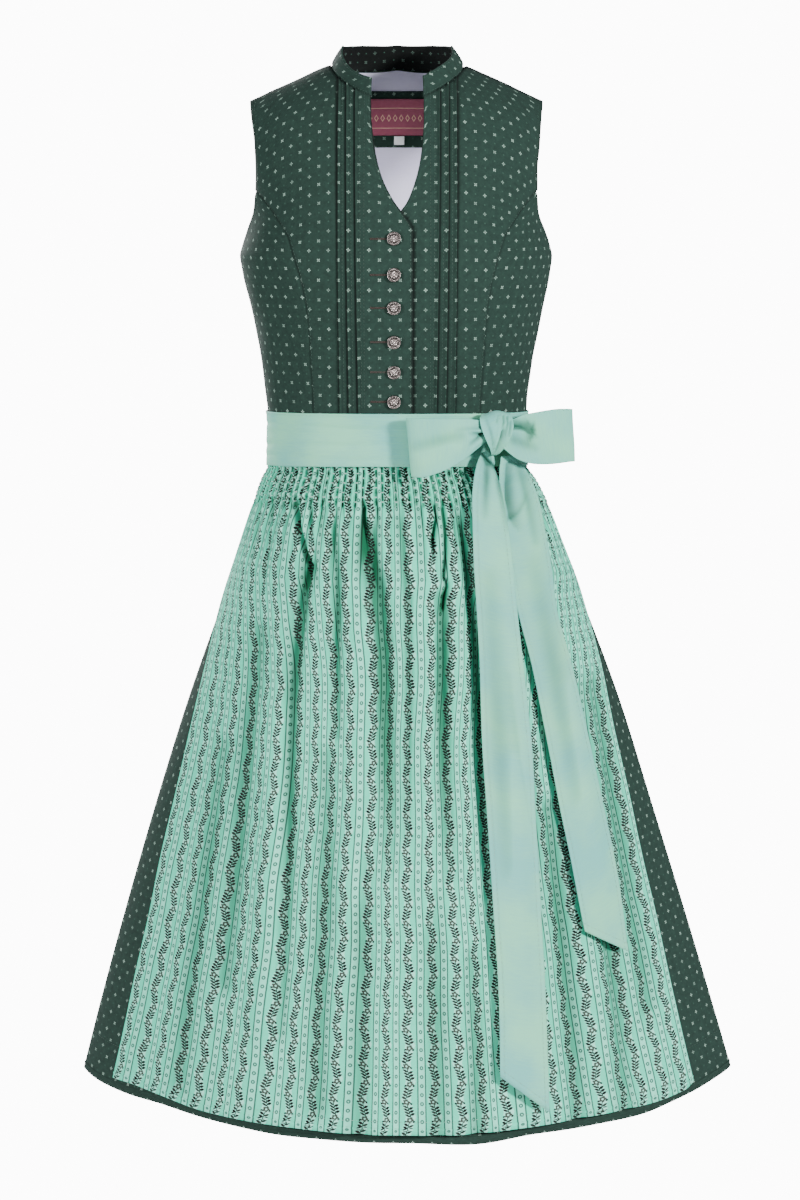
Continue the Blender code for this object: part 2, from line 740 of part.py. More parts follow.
def collar(cloth):
    outer, inner = [], []
    for climb in COLLAR_CLIMBS:
        outer_row, inner_row = [], []
        for index in range(COLLAR_STEPS + 1):
            part = -1 + 2 * index / COLLAR_STEPS
            cut = COLLAR_CORNER if climb == 1 and abs(part) == 1 else 0.0
            ahead = collar_point(math.copysign(max(abs(part) - 0.01, 0), part), climb)
            behind = collar_point(math.copysign(min(abs(part) + 0.01, 1), part), climb)
            along = (ahead - behind).normalized()
            inward = Vector((0, 0, 1)).cross(along).normalized()
            point = collar_point(part, climb)
            if inward.dot(Vector((-point.x, NECK_MIDDLE - point.y, 0))) < 0:
                inward = -inward
            point.z -= cut
            outer_row.append(point)
            inner_row.append(point + inward * COLLAR_CLOTH)
        outer.append(outer_row)
        inner.append(inner_row)
    return add_wall("collar", cloth, outer, inner)


# Skirt ----------------------------------------------------------------------------

HALF_ROUND_STEPS = 160


def half_round(table, height, front):
    # Points of half a section by share of its length, from the right seam to the left.
    depth = table.read("front" if front else "back", height)
    round_power, point_power = table.read("round", height), table.read("point", height)
    points = []
    for index in range(HALF_ROUND_STEPS + 1):
        turn = -1 + 2 * index / HALF_ROUND_STEPS
        share = math.sin(abs(turn) * math.pi / 2)
        across = table.read("left" if turn > 0 else "right", height) * share
        ahead = depth * max(1 - share ** round_power, 0) ** (1 / point_power)
        points.append((math.copysign(across, turn), ahead))
    points = np.array(points)
    lengths = np.concatenate(([0], np.cumsum(np.hypot(*np.diff(points, axis=0).T))))
    return points, lengths


section_store = {}


def section(table, height, front):
    key = (id(table), round(height, 6), front)
    if key not in section_store:
        section_store[key] = half_round(table, height, front)
    return section_store[key]


def section_point(table, height, share, front):
    points, lengths = section(table, height, front)
    length = (min(max(share, -1), 1) + 1) / 2 * lengths[-1]
    across = np.interp(length, lengths, points[:, 0])
    ahead = np.interp(length, lengths, points[:, 1])
    return Vector((across, -ahead if front else ahead, height))


def share_at(table, height, across, front=True):
    points, lengths = section(table, height, front)
    return np.interp(across, points[:, 0], lengths) / lengths[-1] * 2 - 1


def waves(share):
    total = 0.0
    for count, start, weight in SKIRT_WAVES:
        total += weight * math.sin(count * math.pi * (share + 1) / 2 * 2 + start)
    return total * (1 - share ** 8)


def skirt_surface(front):
    top, hem_column = WAIST_SEAM - SEAM_GAP, "front" if front else "back"

    def surface(down, share):
        hem = SKIRT_HEM.read(hem_column, share)
        point = section_point(SKIRT, top + (hem - top) * down, share, front)
        size = (FRONT_WAVE if front else BACK_WAVE) * smooth_step(down, 0.03, 0.75)
        depth = size * (waves(share) - (1.0 if front else 0.0)) / 2
        direction = Vector((point.x, point.y * 1.6, 0)).normalized()
        tuck = SKIRT_TUCK * smooth_step(down, 0.3, 0.1)
        return point + direction * (depth * (1 - abs(share) ** 12) - tuck)

    return surface


def side_seam(down, share):
    if abs(share) > 0.9999:
        return Vector((math.copysign(SIDE_SPREAD, share), 0, 0))
    return None


def open_sides(outer, inner, front):
    # Draw both side edges of a panel back from the side seams.
    shift = Vector((0, (-1 if front else 1) * SIDE_DRAW, 0))
    for rows in (outer, inner):
        for row in rows:
            row[0] += shift
            row[-1] += shift


def skirt_panel(front, cloth):
    columns = 30 if front else 40
    downs = (0, 0.035, 0.06, 0.1, 0.17, 0.28, 0.43, 0.62, 0.81, 1)
    shares = [-1 + 2 * index / columns for index in range(columns + 1)]
    grid = [[(down, share) for share in shares] for down in downs]
    outer, inner = wall_faces(skirt_surface(front), grid, CLOTH, seam=side_seam)
    open_sides(outer, inner, front)
    return add_wall("skirt_front" if front else "skirt_back", cloth, outer, inner)


# Apron ----------------------------------------------------------------------------


def fold_depth(down, share):
    height = apron_height(down, 0)
    half_width = CLOTH_EASE * (SKIRT.read("right", height) + SKIRT.read("left", height)) / 2
    total = 0.0
    for top, foot, at_top, at_foot, half, depth in APRON_FOLDS:
        part = (down - top) / (foot - top)
        if not 0 < part < 1 + FOLD_FADE:
            continue
        line = at_top + (at_foot - at_top) * part
        ends = smooth_step(part, 0, FOLD_FADE) * smooth_step(part, 1 + FOLD_FADE, 0.6)
        if foot >= 1:
            ends = smooth_step(part, 0, 0.5)
        total += depth * ends * math.exp(-(((share - line) * half_width / (half * MM)) ** 2))
    return total * MM


def front_rise(share):
    # The band and the smocking sit a little higher at the middle than at the sides.
    return FRONT_RISE * (1 - share * share)


def gathered(down, share):
    # Cloth is gathered more closely at the sides of the smocking than in its middle.
    share = min(max(share, -1), 1)
    return share + GATHER_SHIFT * smooth_step(down, 0.5, 0) * share * (1 - abs(share))


def cloth_share(down, along):
    # The share of the flat cloth that lies at a share of the gathered width.
    gather = GATHER_SHIFT * smooth_step(down, 0.5, 0)
    if gather < 0.001:
        return along
    share = (1 + gather - math.sqrt((1 + gather) ** 2 - 4 * gather * abs(along))) / (2 * gather)
    return math.copysign(share, along)


def apron_height(down, share):
    top = SMOCK_TOP + front_rise(gathered(0, share))
    return top + (APRON_HEM.read("height", share) - top) * down


def apron_base(down, share):
    # share runs from -1 to 1 between the side edges, in step with the flat cloth.
    height = apron_height(down, share)
    right = SKIRT.read("right", height) - APRON_INSET.read("right", height)
    left = SKIRT.read("left", height) - APRON_INSET.read("left", height)
    first = share_at(SKIRT, height, -right) if right < SKIRT.read("right", height) - 0.01 * MM else -1
    last = share_at(SKIRT, height, left) if left < SKIRT.read("left", height) - 0.01 * MM else 1
    along = first + (last - first) * (gathered(down, share) + 1) / 2
    return section_point(SKIRT, height, along, True), along


def apron_surface(down, share):
    point, along = apron_base(down, share)
    stand = APRON_EDGE_STAND + (APRON_STAND - APRON_EDGE_STAND) * (1 - along ** 4) * smooth_step(down, 0.0, 0.12)
    direction = Vector((point.x, point.y * 1.5, 0)).normalized()
    edges = smooth_step(1 - abs(share), 0, 0.06)
    return point + direction * (stand - fold_depth(down, share) * edges)


def smock_raise(down, share):
    below = apron_height(0, share) - apron_height(down, share)
    if below < 0.5 * MM:
        return 0.0
    if below < SMOCK_DEPTH + 0.5 * MM:
        pleat = 0.5 - 0.5 * math.cos(SMOCK_PLEATS * math.pi * (gathered(down, share) + 1))
        return SMOCK_HEIGHT * pleat * (0.75 + 0.25 * math.cos(SMOCK_ROWS * math.pi * below / SMOCK_DEPTH))
    fade = max(1 - (below - SMOCK_DEPTH) / GATHER_FADE, 0)
    total = sum(weight * math.sin(count * math.pi * (share + 1) + start) for count, start, weight in GATHERS)
    return GATHER_HEIGHT * fade * (0.5 + 0.5 * math.sin(total * 1.6))


def even_shares(count):
    return [-1 + 2 * index / count for index in range(count + 1)]


def apron_edge(down, share):
    # Along the band the apron faces level, and near the waist its side edges face out.
    if down < 0.001:
        point = apron_surface(down, share)
        return Vector((point.x, point.y * 1.5, 0)).normalized()
    if abs(share) > 0.9999 and down < 0.2:
        return Vector((math.copysign(1, share), 0, 0))
    return None


def apron(cloth):
    smock_foot = SMOCK_DEPTH / (SMOCK_TOP - APRON_HEM.read("height", 0))
    smock_downs = [smock_foot * part / SMOCK_STEPS for part in range(SMOCK_STEPS + 1)]
    gather_downs = (0.072, 0.1)
    fold_downs = (0.14, 0.2, 0.28, 0.37, 0.47, 0.57, 0.68, 0.79, 0.9, 1)
    outer_grid = []
    for down in smock_downs:
        outer_grid.append([(down, cloth_share(down, along)) for along in even_shares(2 * SMOCK_PLEATS)])
    outer_grid += [[(down, share) for share in even_shares(count)] for down, count in zip(gather_downs, (100, 76))]
    outer_grid += [[(down, share) for share in even_shares(FOLD_COLUMNS)] for down in fold_downs]
    inner_grid = [[(down, cloth_share(down, along)) for along in even_shares(44)] for down in smock_downs]
    inner_grid += [[(down, share) for share in even_shares(FOLD_COLUMNS)] for down in gather_downs + fold_downs]
    outer, _ = wall_faces(apron_surface, outer_grid, CLOTH, raised=smock_raise, seam=apron_edge)
    _, inner = wall_faces(apron_surface, inner_grid, CLOTH, seam=apron_edge)
    for rows in (outer, inner):
        for row in rows:
            for end in (0, -1):
                row[end].y = min(row[end].y, APRON_BEHIND)
    return add_wall("apron", cloth, outer, inner)


# Waistband and tie ----------------------------------------------------------------


def band_surface(front):
    def surface(height, share):
        point = section_point(BAND, height, share, front)
        climb = (height - BAND_BOTTOM) / (BAND_TOP - BAND_BOTTOM)
        rise = FRONT_RISE + (TOP_RISE - FRONT_RISE) * climb
        return point + Vector((0, 0, rise * (1 - share * share) if front else 0))

    return surface


def band_piece(name, front, cloth):
    heights = (BAND_BOTTOM, (BAND_BOTTOM + BAND_TOP) / 2, BAND_TOP)
    grid = [[(height, share) for share in even_shares(32)] for height in heights]
    outer, inner = wall_faces(band_surface(front), grid, CLOTH, seam=side_seam)
    open_sides(outer, inner, front)
    return add_wall(name, cloth, outer, inner)


# Bow ------------------------------------------------------------------------------


def smooth_rows(rows, steps):
    # Points on a smooth curve through the rows of a ribbon, steps to each span.
    values = np.array(rows, dtype=float) * MM
    padded = np.vstack((2 * values[0] - values[1], values, 2 * values[-1] - values[-2]))
    result = []
    for index in range(1, len(padded) - 2):
        before, start, end, after = padded[index - 1:index + 3]
        for step in range(steps):
            part = step / steps
            result.append(0.5 * (
                2 * start
                + (end - before) * part
                + (2 * before - 5 * start + 4 * end - after) * part ** 2
                + (3 * start - before - 3 * end + after) * part ** 3
            ))
    result.append(values[-1])
    return result


def ribbon_lines(rows, columns, steps):
    lines = []
    for row in smooth_rows(rows, steps):
        first, second, bulged = Vector(row[:3]), Vector(row[3:6]), row[6]
        parts = [column / columns for column in range(columns + 1)]
        lines.append([(first.lerp(second, part), bulged * math.sin(part * math.pi) ** 2) for part in parts])
    return lines


def ribbon(name, cloth, rows, columns=4, steps=2, crease=None):
    lines = ribbon_lines(rows, columns, steps)
    grid = []
    for station, line in enumerate(lines):
        before = lines[max(station - 1, 0)]
        after = lines[min(station + 1, len(lines) - 1)]
        points = []
        for column, (point, bulged) in enumerate(line):
            along = after[column][0] - before[column][0]
            across = line[-1][0] - line[0][0]
            normal = along.cross(across).normalized()
            folded = crease(station / (len(lines) - 1), column / columns) if crease else 0.0
            points.append((point + normal * (bulged + folded), normal))
        grid.append(points)
    outer = [[point + normal * CLOTH / 2 for point, normal in points] for points in grid]
    inner = [[point - normal * CLOTH / 2 for point, normal in points] for points in grid]
    return add_wall(name, cloth, outer, inner)


def knot_crease(along, across):
    middle = math.sin(min(max(along, 0), 1) * math.pi)
    return 1.1 * MM * middle * math.sin(across * 3 * math.pi + 0.6)


def hang_depth(across, height):
    # Depth of the skirt's front, widened so that what hangs clears the apron's side.
    width = SKIRT.read("left" if across > 0 else "right", height) + HANG_WIDER
    share = min(abs(across) / width, 1)
    round_power, point_power = SKIRT.read("round", height), SKIRT.read("point", height)
    return SKIRT.read("front", height) * (1 - share ** round_power) ** (1 / point_power)


def tail(name, cloth, rows, columns=6, steps=1):
    grid = []
    for left_x, left_z, right_x, right_z, stand in smooth_rows(rows, steps):
        points = []
        for column in range(columns + 1):
            part = column / columns
            across = left_x + (right_x - left_x) * part
            height = left_z + (right_z - left_z) * part
            points.append(Vector((across, -hang_depth(across, height) - stand, height)))
        grid.append(points)
    outer, inner = [], []
    for index, points in enumerate(grid):
        before, after = grid[max(index - 1, 0)], grid[min(index + 1, len(grid) - 1)]
        outer_row, inner_row = [], []
        for column, point in enumerate(points):
            down = after[column] - before[column]
            side = points[min(column + 1, columns)] - points[max(column - 1, 0)]
            normal = side.cross(down).normalized()
            if normal.y > 0:
                normal = -normal
            outer_row.append(point + normal * CLOTH)
            inner_row.append(point)
        outer.append(outer_row)
        inner.append(inner_row)
    return add_wall(name, cloth, outer, inner)


# Buttons --------------------------------------------------------------------------


def button(number, height, metal):
    turn = turn_at(height, BUTTON_ACROSS)
    surface = bodice_surface(True)
    normal = outward(surface, height, turn)
    mesh = bmesh.new()
    rings = []
    for radius, lift in BUTTON_PROFILE:
        ring = []
        for side in range(BUTTON_SIDES):
            angle = 2 * math.pi * side / BUTTON_SIDES
            ring.append(mesh.verts.new((radius * MM * math.cos(angle), radius * MM * math.sin(angle), lift * MM)))
        rings.append(ring)
    for lower, upper in zip(rings, rings[1:]):
        for side in range(BUTTON_SIDES):
            after = (side + 1) % BUTTON_SIDES
            mesh.faces.new((lower[side], lower[after], upper[after], upper[side]))
    mesh.faces.new(rings[0][::-1])
    mesh.faces.new(rings[-1])
    item = add_object(f"button_{number}", mesh, metal)
    item.rotation_euler = normal.to_track_quat("Z", "Y").to_euler()
    item.location = surface(height, turn) + normal * BUTTON_STAND
    return item


def main():
    for item in list(bpy.data.objects):
        bpy.data.objects.remove(item, do_unlink=True)
    green = material("dark_green_cotton", (0.030, 0.062, 0.048), 0.85)
    mint = material("mint_print_cotton", (0.34, 0.60, 0.52), 0.8)
    plain_mint = material("plain_mint_cotton", (0.38, 0.60, 0.53), 0.7)
    lavender = material("lavender_lining", (0.56, 0.54, 0.66), 0.8)
    mauve = material("mauve_label", (0.30, 0.08, 0.15), 0.7)
    white = material("white_tape", (0.85, 0.85, 0.85), 0.8)
    metal = material("old_silver", (0.55, 0.47, 0.45), 0.35, 1.0)

    for side in (-1, 1):
        centre_front(side, green)
        side_front(side, green)
    back_bodice(green)
    back_lining(lavender)
    collar(green)
    lining_depth = CLOTH + SEAM_GAP + LINING
    back_patch("neck_patch", green, -PATCH_HALF, PATCH_HALF, PATCH_TOP, PATCH_FOOT, lining_depth + PATCH_GAP, 8, 5)
    label_depth = lining_depth + 2 * PATCH_GAP + LINING
    back_patch("neck_label", mauve, -LABEL_HALF, LABEL_HALF, LABEL_TOP, LABEL_FOOT, label_depth, 6, 4)
    back_patch("size_tab", white, TAB_FROM, TAB_TO, TAB_TOP, TAB_FOOT, label_depth, 1, 1)
    for number, height in enumerate(BUTTON_HEIGHTS, 1):
        button(number, height * MM, metal)

    skirt_panel(True, green)
    skirt_panel(False, green)
    apron(mint)
    band_piece("apron_waistband", True, plain_mint)
    band_piece("apron_tie_back", False, plain_mint)
    ribbon("bow_loop_right", plain_mint, LOOP_RIGHT_ROWS)
    ribbon("bow_loop_left", plain_mint, LOOP_LEFT_ROWS)
    ribbon("bow_knot", plain_mint, KNOT_ROWS, columns=8, steps=1, crease=knot_crease)
    tail("bow_tail_right", plain_mint, TAIL_RIGHT_ROWS)
    tail("bow_tail_left", plain_mint, TAIL_LEFT_ROWS)


main()
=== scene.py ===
# Dirndl dress: cloth, print, smocking, bow, buttons and light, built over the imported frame.
# Metres, +Z up, the wearer faces -Y. Sizes in tables and dictionaries are in mm.
import bpy
import math
import numpy as np
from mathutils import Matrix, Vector


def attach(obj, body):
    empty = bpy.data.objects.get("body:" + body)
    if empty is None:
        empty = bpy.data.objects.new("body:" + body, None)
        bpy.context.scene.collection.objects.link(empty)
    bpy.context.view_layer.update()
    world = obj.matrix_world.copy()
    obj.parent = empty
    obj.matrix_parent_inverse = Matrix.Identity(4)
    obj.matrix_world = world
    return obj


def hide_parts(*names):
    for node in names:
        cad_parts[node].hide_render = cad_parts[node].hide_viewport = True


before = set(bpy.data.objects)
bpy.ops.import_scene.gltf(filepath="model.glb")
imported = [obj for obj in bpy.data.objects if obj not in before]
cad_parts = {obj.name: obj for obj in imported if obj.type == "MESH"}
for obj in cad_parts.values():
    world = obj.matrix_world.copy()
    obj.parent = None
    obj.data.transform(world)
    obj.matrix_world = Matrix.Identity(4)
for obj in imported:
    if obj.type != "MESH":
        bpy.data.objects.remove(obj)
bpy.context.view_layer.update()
mm = 0.001
scene = bpy.context.scene
print("frame loaded:", len(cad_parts), "nodes")


# Camera, light and floor

view = {"lens": 81.0, "sensor": 36, "distance": 2.7, "tilt": 7.4, "target": (0.0025, 0.0, -0.5077)}
studio = {
    "air": "f4f8ff", "airStrength": 0.36, "paper": "ffffff", "paperStrength": 12.0,
    # kind, place, what it points at, size and power of each lamp
    "lamps": {
        "key": ("AREA", (2.35, -2.1, 0.4), (0, 0, -0.45), 0.45, 190),
        "side": ("AREA", (-2.4, -2.0, 0.0), (0, 0, -0.45), 0.9, 120),
        "front": ("AREA", (0.0, -3.3, 0.5), (0, 0, -0.45), 0.8, 12),
        "neck": ("SPOT", (0.0, -0.052, -0.12), (0.0, 0.1, -0.075), 0.012, 0.22),
        "back": ("AREA", (-1.5, 2.9, 0.5), (0, 0, -0.45), 1.2, 150),
    },
    "spotCone": 64, "spotBlend": 0.5,
    "floor": "f4f4f4", "floorRoughness": 0.9, "floorHeight": -1.45, "floorHalf": 0.85,
}


def linear(hexColour):
    # sRGB hex to the linear colour that sockets take
    parts = [int(hexColour[start:start + 2], 16) / 255 for start in (0, 2, 4)]
    return (*[part / 12.92 if part <= 0.04045 else ((part + 0.055) / 1.055) ** 2.4 for part in parts], 1.0)


def node(tree, kind, *inputs, out=0, named=None, **settings):
    # adds one node. "Math.ADD" sets the operation
    # sockets are linked, hex colours are made linear and None is left alone
    kind, _, operation = kind.partition(".")
    made = tree.nodes.new(kind if kind.startswith(("Geometry", "Function", "Node")) else "ShaderNode" + kind)
    if operation:
        made.operation = operation
    for name, value in settings.items():
        setattr(made, name, value)
    for place, value in [*enumerate(inputs), *(named or {}).items()]:
        if isinstance(value, bpy.types.NodeSocket):
            tree.links.new(value, made.inputs[place])
        elif value is not None:
            made.inputs[place].default_value = linear(value) if isinstance(value, str) else value
    return made.outputs[out] if out is not None else made


def buildStudio():
    tilt = math.radians(view["tilt"])
    camera = bpy.data.objects.new("camera", bpy.data.cameras.new("camera"))
    camera.data.lens = view["lens"]
    camera.data.sensor_width = view["sensor"]
    camera.location = Vector(view["target"]) + view["distance"] * Vector((0, -math.cos(tilt), math.sin(tilt)))
    camera.rotation_euler = (math.pi / 2 - tilt, 0, 0)
    scene.collection.objects.link(camera)
    scene.camera = camera

    for name, (kind, place, goal, size, power) in studio["lamps"].items():
        lamp = bpy.data.lights.new(name, kind)
        lamp.energy = power
        if kind == "AREA":
            lamp.size = size
        else:  # a little lamp behind the front, that fills the neck
            lamp.shadow_soft_size = size
            lamp.spot_size = math.radians(studio["spotCone"])
            lamp.spot_blend = studio["spotBlend"]
        item = bpy.data.objects.new(name, lamp)
        item.location = place
        item.rotation_euler = (Vector(goal) - item.location).to_track_quat("-Z", "Y").to_euler()
        scene.collection.objects.link(item)

    # soft light from all round, in front of a white paper backdrop that adds no light of its own
    world = bpy.data.worlds.new("air")
    world.use_nodes = True
    tree = world.node_tree
    seen = node(tree, "LightPath")
    air = node(tree, "Background", linear(studio["air"]), studio["airStrength"])
    paper = node(tree, "Background", linear(studio["paper"]), studio["paperStrength"])
    both = node(tree, "MixShader", seen, air, paper)
    tree.links.new(both, tree.nodes["World Output"].inputs["Surface"])
    scene.world = world

    finish = bpy.data.materials.new("floorPaper")
    finish.use_nodes = True
    shader = finish.node_tree.nodes["Principled BSDF"]
    shader.inputs["Base Color"].default_value = linear(studio["floor"])
    shader.inputs["Roughness"].default_value = studio["floorRoughness"]
    reach, height = studio["floorHalf"], studio["floorHeight"]
    mesh = bpy.data.meshes.new("floor")
    corners = [(across * reach, ahead * reach, height) for across,
               ahead in ((-1, -1), (1, -1), (1, 1), (-1, 1))]
    mesh.from_pydata(corners, [], [(0, 1, 2, 3)])
    mesh.materials.append(finish)
    floor = bpy.data.objects.new("floor", mesh)
    scene.collection.objects.link(floor)


buildStudio()
print("camera, light and floor")


# Finishes

greenCotton = {
    # groove is the colour of painted shade in grooves, seams and folds
    "speck": "2c463c", "groove": "303030", "roughness": 0.9, "specular": 0.22, "weave": (0.8, 0.5),
    # flowers of four petals in half drop rows, turned in every second column, with a speck between them
    "column": 9.8, "period": 18.8, "turned": 0.7, "petal": 1.1, "petalHalf": (0.82, 0.58), "speckHalf": 0.8,
    "ink": (0.45, 0.95), "mottle": 0.16,
}
mintCotton = {
    "ground": "4ad2ae", "pale": "9ee8d3", "leaf": "000604", "rose": "3c443c", "line": "2a5044",
    # hollow is the colour of painted shade deep in folds, creases and smocking
    "cloud": "d8ece6", "hollow": "326e5a", "roughness": 0.85, "specular": 0.25, "weave": (0.8, 0.3),
    # one stripe is a vine and a chain. The vine zigzags by its lean, in limbs of half its period
    "stripe": 21.0, "vine": 33.2, "lean": 2.0, "stem": 0.4,
    "leafPitch": 2.75, "leafHalf": (2.2, 1.05), "leafOut": 2.0, "leafLean": -0.6,
    "flower": 2.7, "flowerUp": 13.8, "petals": 5.0, "petalDepth": 0.45, "heart": 0.8,
    "budOut": 3.3, "budDown": 1.4, "budHalf": (0.9, 1.1), "paleEdge": (4.2, 3.6), "paleShare": 0.8,
    "oval": 8.3, "ovalHalf": (1.5, 1.9), "holeHalf": (0.5, 0.7), "band": 3.0, "bandShare": 0.5, "rail": 0.55,
    "chainInk": 0.92,
}


def newMaterial(name):
    finish = bpy.data.materials.new(name)
    finish.use_nodes = True
    tree = finish.node_tree
    return finish, tree, tree.nodes["Principled BSDF"]


def clothInMm(tree):
    # the cloth's own coordinates, in mm, split into across and along
    place = node(tree, "UVMap", uv_map="cloth")
    inMm = node(tree, "VectorMath.SCALE", place, None, None, 1000.0)
    return inMm, node(tree, "SeparateXYZ", inMm, out=0), node(tree, "SeparateXYZ", inMm, out=1)


def withPaintedShade(tree, colour, shade):
    # the cloth's colour with painted shade: drawn darker where the cloth lies deep, in grooves, seams and folds
    paintedShade = node(tree, "Attribute", attribute_name="paintedShade", out=2)
    return node(tree, "Mix", paintedShade, out=2, data_type="RGBA", blend_type="MULTIPLY",
                named={6: colour, 7: shade})


def weave(tree, shader, inMm, pitch, depth):
    # plain weave as a low relief. pitch is in mm, drawn coarser than the 0.3 mm threads so that it shows
    scaled = node(tree, "VectorMath.SCALE", inMm, None, None, math.pi / pitch)
    waves = [node(tree, "Math.SINE", node(tree, "SeparateXYZ", scaled, out=side)) for side in (0, 1)]
    threads = node(tree, "Math.MULTIPLY", *waves)
    slub = node(tree, "TexNoise", inMm, named={"Scale": 0.5, "Detail": 3.0})
    relief = node(tree, "Math.ADD", threads, slub)
    bump = node(tree, "Bump", named={"Strength": depth, "Distance": 0.0002, "Height": relief})
    tree.links.new(bump, shader.inputs["Normal"])


def disc(tree, across, along, halfAcross, halfAlong, soft):
    # mask of an ellipse: 1 inside, 0 outside
    x = node(tree, "Math.DIVIDE", across, halfAcross)
    y = node(tree, "Math.DIVIDE", along, halfAlong)
    reach = node(tree, "VectorMath.LENGTH", node(tree, "CombineXYZ", x, y), out=1)
    return node(tree, "MapRange", reach, 1 - soft, 1 + soft, 1.0, 0.0, interpolation_type="SMOOTHSTEP")


def line(tree, value, centre, half, soft):
    # mask of a band round one value
    beside = node(tree, "Math.ABSOLUTE", node(tree, "Math.SUBTRACT", value, centre))
    return node(tree, "MapRange", beside, half - soft, half + soft, 1.0, 0.0, interpolation_type="SMOOTHSTEP")


def greenPrint(name, ground, shade, flower):
    # cotton poplin, piece dyed and pigment printed: matte, with small pale flowers in half drop rows
    finish, tree, shader = newMaterial(name)
    size = greenCotton
    pitch, period = size["column"], size["period"]
    inMm, across, along = clothInMm(tree)
    column = node(tree, "Math.FLOOR", node(tree, "Math.DIVIDE", across, pitch))
    odd = node(tree, "Math.FLOORED_MODULO", column, 2.0)
    dropped = node(tree, "Math.MULTIPLY_ADD", odd, period / 2, along)
    besideX = node(tree, "Math.SUBTRACT", node(tree, "Math.FLOORED_MODULO", across, pitch), pitch / 2)
    besideY = node(tree, "Math.SUBTRACT", node(tree, "Math.FLOORED_MODULO", dropped, period), period / 2)
    bearing = node(tree, "Math.ARCTAN2", besideY, besideX)
    angle = node(tree, "Math.ADD", bearing, node(tree, "Math.MULTIPLY", odd, size["turned"]))
    folded = node(tree, "Math.SUBTRACT", node(tree, "Math.FLOORED_MODULO", angle, math.pi / 2), math.pi / 4)
    reach = node(tree, "VectorMath.LENGTH", node(tree, "CombineXYZ", besideX, besideY), out=1)
    outwards = node(tree, "Math.MULTIPLY", reach, node(tree, "Math.COSINE", folded))
    sideways = node(tree, "Math.MULTIPLY", reach, node(tree, "Math.SINE", folded))
    petalX = node(tree, "Math.SUBTRACT", outwards, size["petal"])
    petal = disc(tree, petalX, sideways, *size["petalHalf"], 0.25)
    far = node(tree, "Math.SUBTRACT", period / 2, node(tree, "Math.ABSOLUTE", besideY))
    speck = disc(tree, besideX, far, size["speckHalf"], size["speckHalf"], 0.35)
    mottle = node(tree, "TexNoise", inMm, named={"Scale": size["mottle"], "Detail": 5.0, "Roughness": 0.7})
    dye = node(tree, "MapRange", mottle, 0.3, 0.7)
    base = node(tree, "Mix", dye, out=2, data_type="RGBA", named={6: shade, 7: ground})
    specked = node(tree, "Mix", speck, out=2, data_type="RGBA", named={6: base, 7: size["speck"]})
    row = node(tree, "Math.FLOOR", node(tree, "Math.DIVIDE", dropped, period))
    draw = node(tree, "TexWhiteNoise", node(tree, "CombineXYZ", column, row), noise_dimensions="2D")
    ink = node(tree, "Math.MULTIPLY", petal, node(tree, "MapRange", draw, 0.0, 1.0, *size["ink"]))
    colour = node(tree, "Mix", ink, out=2, data_type="RGBA", named={6: specked, 7: flower})
    deep = withPaintedShade(tree, colour, size["groove"])  # painted shade: the cloth is drawn darker in grooves, seams and folds
    tree.links.new(deep, shader.inputs["Base Color"])
    shader.inputs["Roughness"].default_value = size["roughness"]
    shader.inputs["Specular IOR Level"].default_value = size["specular"]
    weave(tree, shader, inMm, *size["weave"])
    return finish


